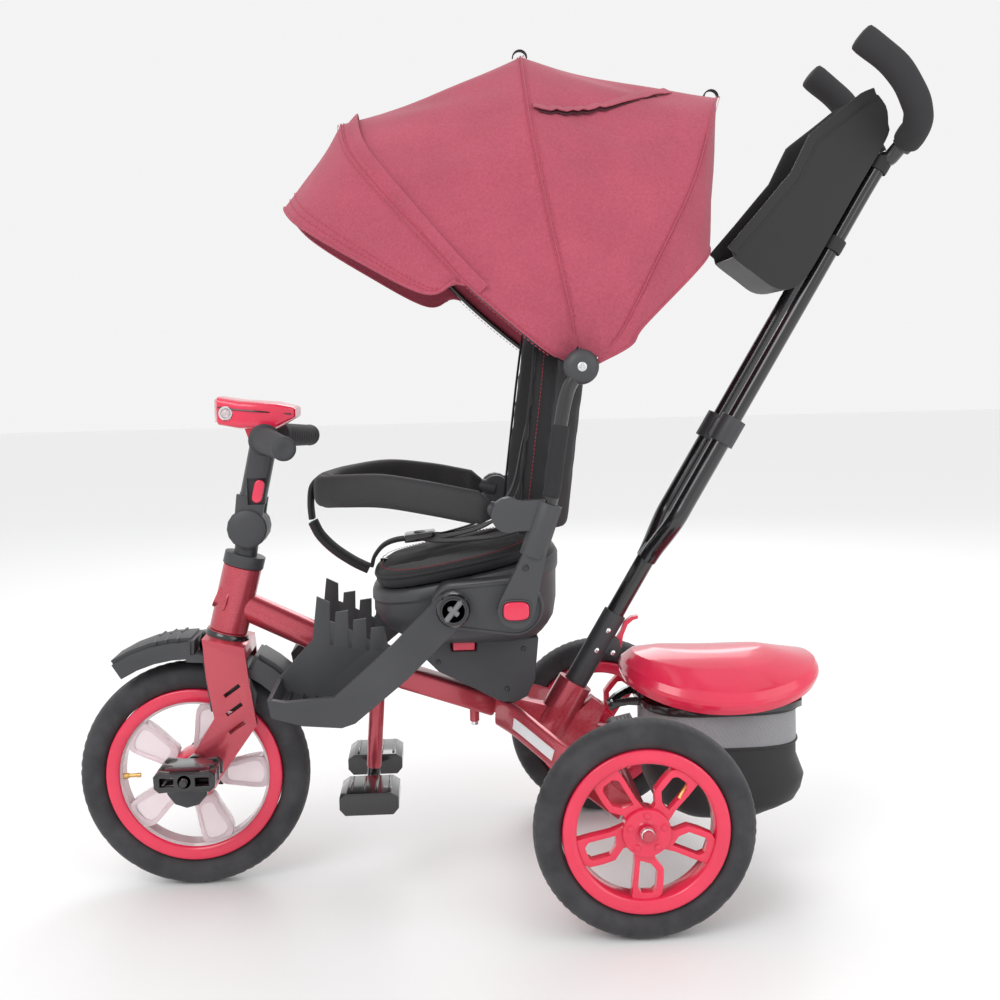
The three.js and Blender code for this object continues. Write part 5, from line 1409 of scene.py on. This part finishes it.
# ------------------------------------------------------------------ bag
# A black nylon pouch slung on the handle tubes: a lofted shell that sags to the front, with a wide
# stitched hem round its mouth and two webbing tabs round the tubes.
nylon = fabric("black nylon", (0.008, 0.008, 0.009), (0.020, 0.020, 0.022), 0.55, 520, 0.14, 0.04)
bag_mouth = evenly([Vector((x, 0, z)) for x, z in ((146, 814), (180, 852), (212, 889), (227, 906), (250, 952),
                                                    (288, 980), (314, 1000), (328, 1005))], 48)
bag_back = evenly(flowing([(148, 0, 806), (156, 0, 799), (176, 0, 784), (196, 0, 769), (212, 0, 765),
                           (227, 0, 768),
                           (241, 0, 782), (256, 0, 805), (300, 0, 880), (342, 0, 950), (344, 0, 968),
                           (342, 0, 988),
                           (332, 0, 1003)], 6), 48)


def bag_section(i, inset):
    """A U-shaped section from the mouth's left edge, round the back, to its right edge."""
    near, deep = bag_mouth[i], bag_back[i]
    full = math.sin(math.pi * i / 48)
    section = []
    for k in range(33):
        u = k / 16 - 1
        side = math.copysign(min(1, 1.62 * abs(math.sin(u * math.pi / 2))) ** 0.8, u) if u else 0
        depth = min(1, (1 - abs(u)) * 2.1)
        depth = depth ** 0.62
        half = (55 + 3 * full * depth) - inset
        sag = 2.5 * math.sin(i * 0.55 + 3 * u) * depth * (1 - depth) * 4 * full
        p = near.lerp(deep, max(0, depth - inset / 60 * (depth > 0.3)))
        section.append(p + Vector((sag, side * half, -0.5 * sag)))
    return section


shell = bmesh.new()
outer = [[shell.verts.new(spot(*p)) for p in bag_section(i, 0)] for i in range(49)]
for i in range(48):
    for k in range(32):
        shell.faces.new([outer[i][k], outer[i][k + 1], outer[i + 1][k + 1], outer[i + 1][k]])
bmesh.ops.remove_doubles(shell, verts=shell.verts, dist=0.0002)
bmesh.ops.recalc_face_normals(shell, faces=shell.faces)
bottom = min(shell.faces, key=lambda f: f.calc_center_median().z)
if bottom.normal.z > 0:
    bmesh.ops.reverse_faces(shell, faces=shell.faces)
bmesh.ops.solidify(shell, geom=shell.faces[:], thickness=0.0022)
finished("bag_shell", shell, nylon, "push_handle", "bag_fabric", "bag", crease=60)
for side, word in ((-1, "left"), (1, "right")):
    rim = bmesh.new()
    path = [Vector((p.x, side * 55, p.z)) for p in bag_mouth]
    rib_of(rim, path, [Vector((0, side, 0))] * len(path), 8, 1.6)
    finished("bag_hem_" + word, rim, nylon, "push_handle", "bag_fabric")
    inward = [p + Vector((4, side * 1.9, -3)) for p in path[1:-1]]
    stitched("bag_stitches_" + word, inward, "push_handle", "bag_fabric", 0.45, 3.4, 1.6, webbing)
    for step, s in enumerate((655, 770)):
        tab = bmesh.new()
        ring = [on_handle(s, side * 42) + Vector((math.cos(math.pi * k / 9) * 12.4 * math.cos(0.534),
                                                  side * math.sin(math.pi * k / 9) * 12.4,
                                                  -math.cos(math.pi * k / 9) * 12.4 * math.sin(0.534)))
                for k in range(-4, 14)]
        rib_of(tab, ring, [(p - on_handle(s, side * 42)).normalized() for p in ring], 9, 1.0)
        finished("bag_tab_%s_%d" % (word, step + 1), tab, webbing, "push_handle", "bag_fabric")

# ------------------------------------------------------------------ basket
# A tub hung in a wire frame: solid black cloth below, a grey mesh band above, a padded black binding.
grey_mesh = fabric("grey mesh", (0.16, 0.16, 0.17), (0.42, 0.42, 0.44), 0.75, 95, 0.7)


def tub_ring(x_front, x_back, half_width, z, power=3.4, count=96):
    ring = []
    for k in range(count):
        c, s = math.cos(2 * math.pi * k / count), math.sin(2 * math.pi * k / count)
        x = (x_front + x_back) / 2 + (x_back - x_front) / 2 * math.copysign(abs(c) ** (2 / power), c)
        ring.append(spot(x, half_width * math.copysign(abs(s) ** (2 / power), s), z))
    return ring


tub = bmesh.new()
skinned(tub, [tub_ring(84, 184, 66, 84.4), tub_ring(74, 192, 73, 84.8), tub_ring(66, 200, 78, 89),
              tub_ring(54, 216, 83, 95),
              tub_ring(43, 232, 88, 103), tub_ring(37, 240, 91.5, 117), tub_ring(34, 243.6, 93, 133),
              tub_ring(33, 233, 93, 161), tub_ring(32.4, 232.6, 92.6, 200), tub_ring(32, 232, 92, 237),
              tub_ring(35, 229, 89, 237), tub_ring(35.6, 229.4, 89.4, 200), tub_ring(36.4, 230, 90, 161),
              tub_ring(37.5, 239, 90, 133), tub_ring(47, 228, 85, 106), tub_ring(74, 190, 73, 88.4),
              tub_ring(120, 146, 14, 88)])
finished("basket_tub", tub, nylon, "frame", "basket_fabric", "basket", crease=60)
band = bmesh.new()
rings = [tub_ring(31.4, 232.6, 92.6, 236), tub_ring(31.5, 233, 92.8, 210), tub_ring(31.8, 233.4, 93.2, 182)]
skinned(band, rings + [tub_ring(33.2, 231.6, 91.6, 182), tub_ring(33, 231.4, 91.2, 236)], False)
finished("basket_mesh_band", band, grey_mesh, "frame", "basket_fabric")
for i, (z, thick) in enumerate(((182, 1.6), (228, 3.2))):
    binding = bmesh.new()
    line = [in_mm(p) for p in tub_ring(30.6, 233.8, 93.6, z)]
    piped(binding, line + line[:1], thick, 12)
    finished("basket_binding_%d" % (i + 1), binding, nylon, "frame", "basket_fabric")
eased_copy("basket_rail", "rail", gloss_black, "frame", "rail_wire", 1)

# ------------------------------------------------------------------ basket lid
# A glossy pink-red moulded lid: a rolled rim, broad facets that rise to a ridge, and two hinge clips.


def lid_ring(x_front, x_back, half_width, z, bow=1.0, power=2.5):
    ring = []
    for p in tub_ring(x_front, x_back, half_width, 0, power, 96):
        x = in_mm(p).x
        ring.append(p + Vector((0, 0, (z + bow * 0.0016 * (x - 133) ** 2) / 1000)))
    return ring


lid = bmesh.new()
skinned(lid, [
    lid_ring(90, 160, 14, 292, 0.4), lid_ring(56, 190, 29, 290, 0.5), lid_ring(28, 220, 62, 276.6, 0.7),
    lid_ring(14, 256, 101, 254, 0.98), lid_ring(10.5, 261, 107, 243), lid_ring(13, 258, 105, 232),
    lid_ring(10.5, 260, 107.5, 230.6), lid_ring(8.6, 262, 109, 231.4), lid_ring(5.2, 265.8, 112, 238),
    lid_ring(4, 267, 113, 243), lid_ring(4.8, 266, 112, 248), lid_ring(8, 262, 107, 257.5),
    lid_ring(10, 258.6, 104, 260, 0.98), lid_ring(21, 228, 68, 280.2, 0.71),
    lid_ring(24, 224, 64.6, 282, 0.69),
    lid_ring(48, 198, 34, 293.4, 0.51), lid_ring(54, 192, 29, 294.6, 0.49), lid_ring(90, 160, 14, 296, 0.4),
])
finished("lid", lid, pink_red, "basket_lid", "red_plastic", "basket_lid", crease=9)
for side, word in ((-1, "left"), (1, "right")):
    clip = bmesh.new()
    plate(clip, [curved_outline([(18, 254), (36, 254), (38, 268), (34, 284), (24, 288), (18, 276)])],
          lambda u, v: spot(u, side * 24.5 - 5, v), Vector((0, 0.010, 0)))
    ease_edges(clip, 1.6)
    finished("lid_clip_" + word, clip, pink_red, "basket_lid", "red_plastic")
    pivot = bmesh.new()
    piped(pivot, [(27, side * y, 262) for y in (28, 29, 37, 38.4)], [3, 3.6, 3.6, 2.4], 20)
    finished("lid_pin_" + word, pivot, chrome, "basket_lid", "axle_steel")
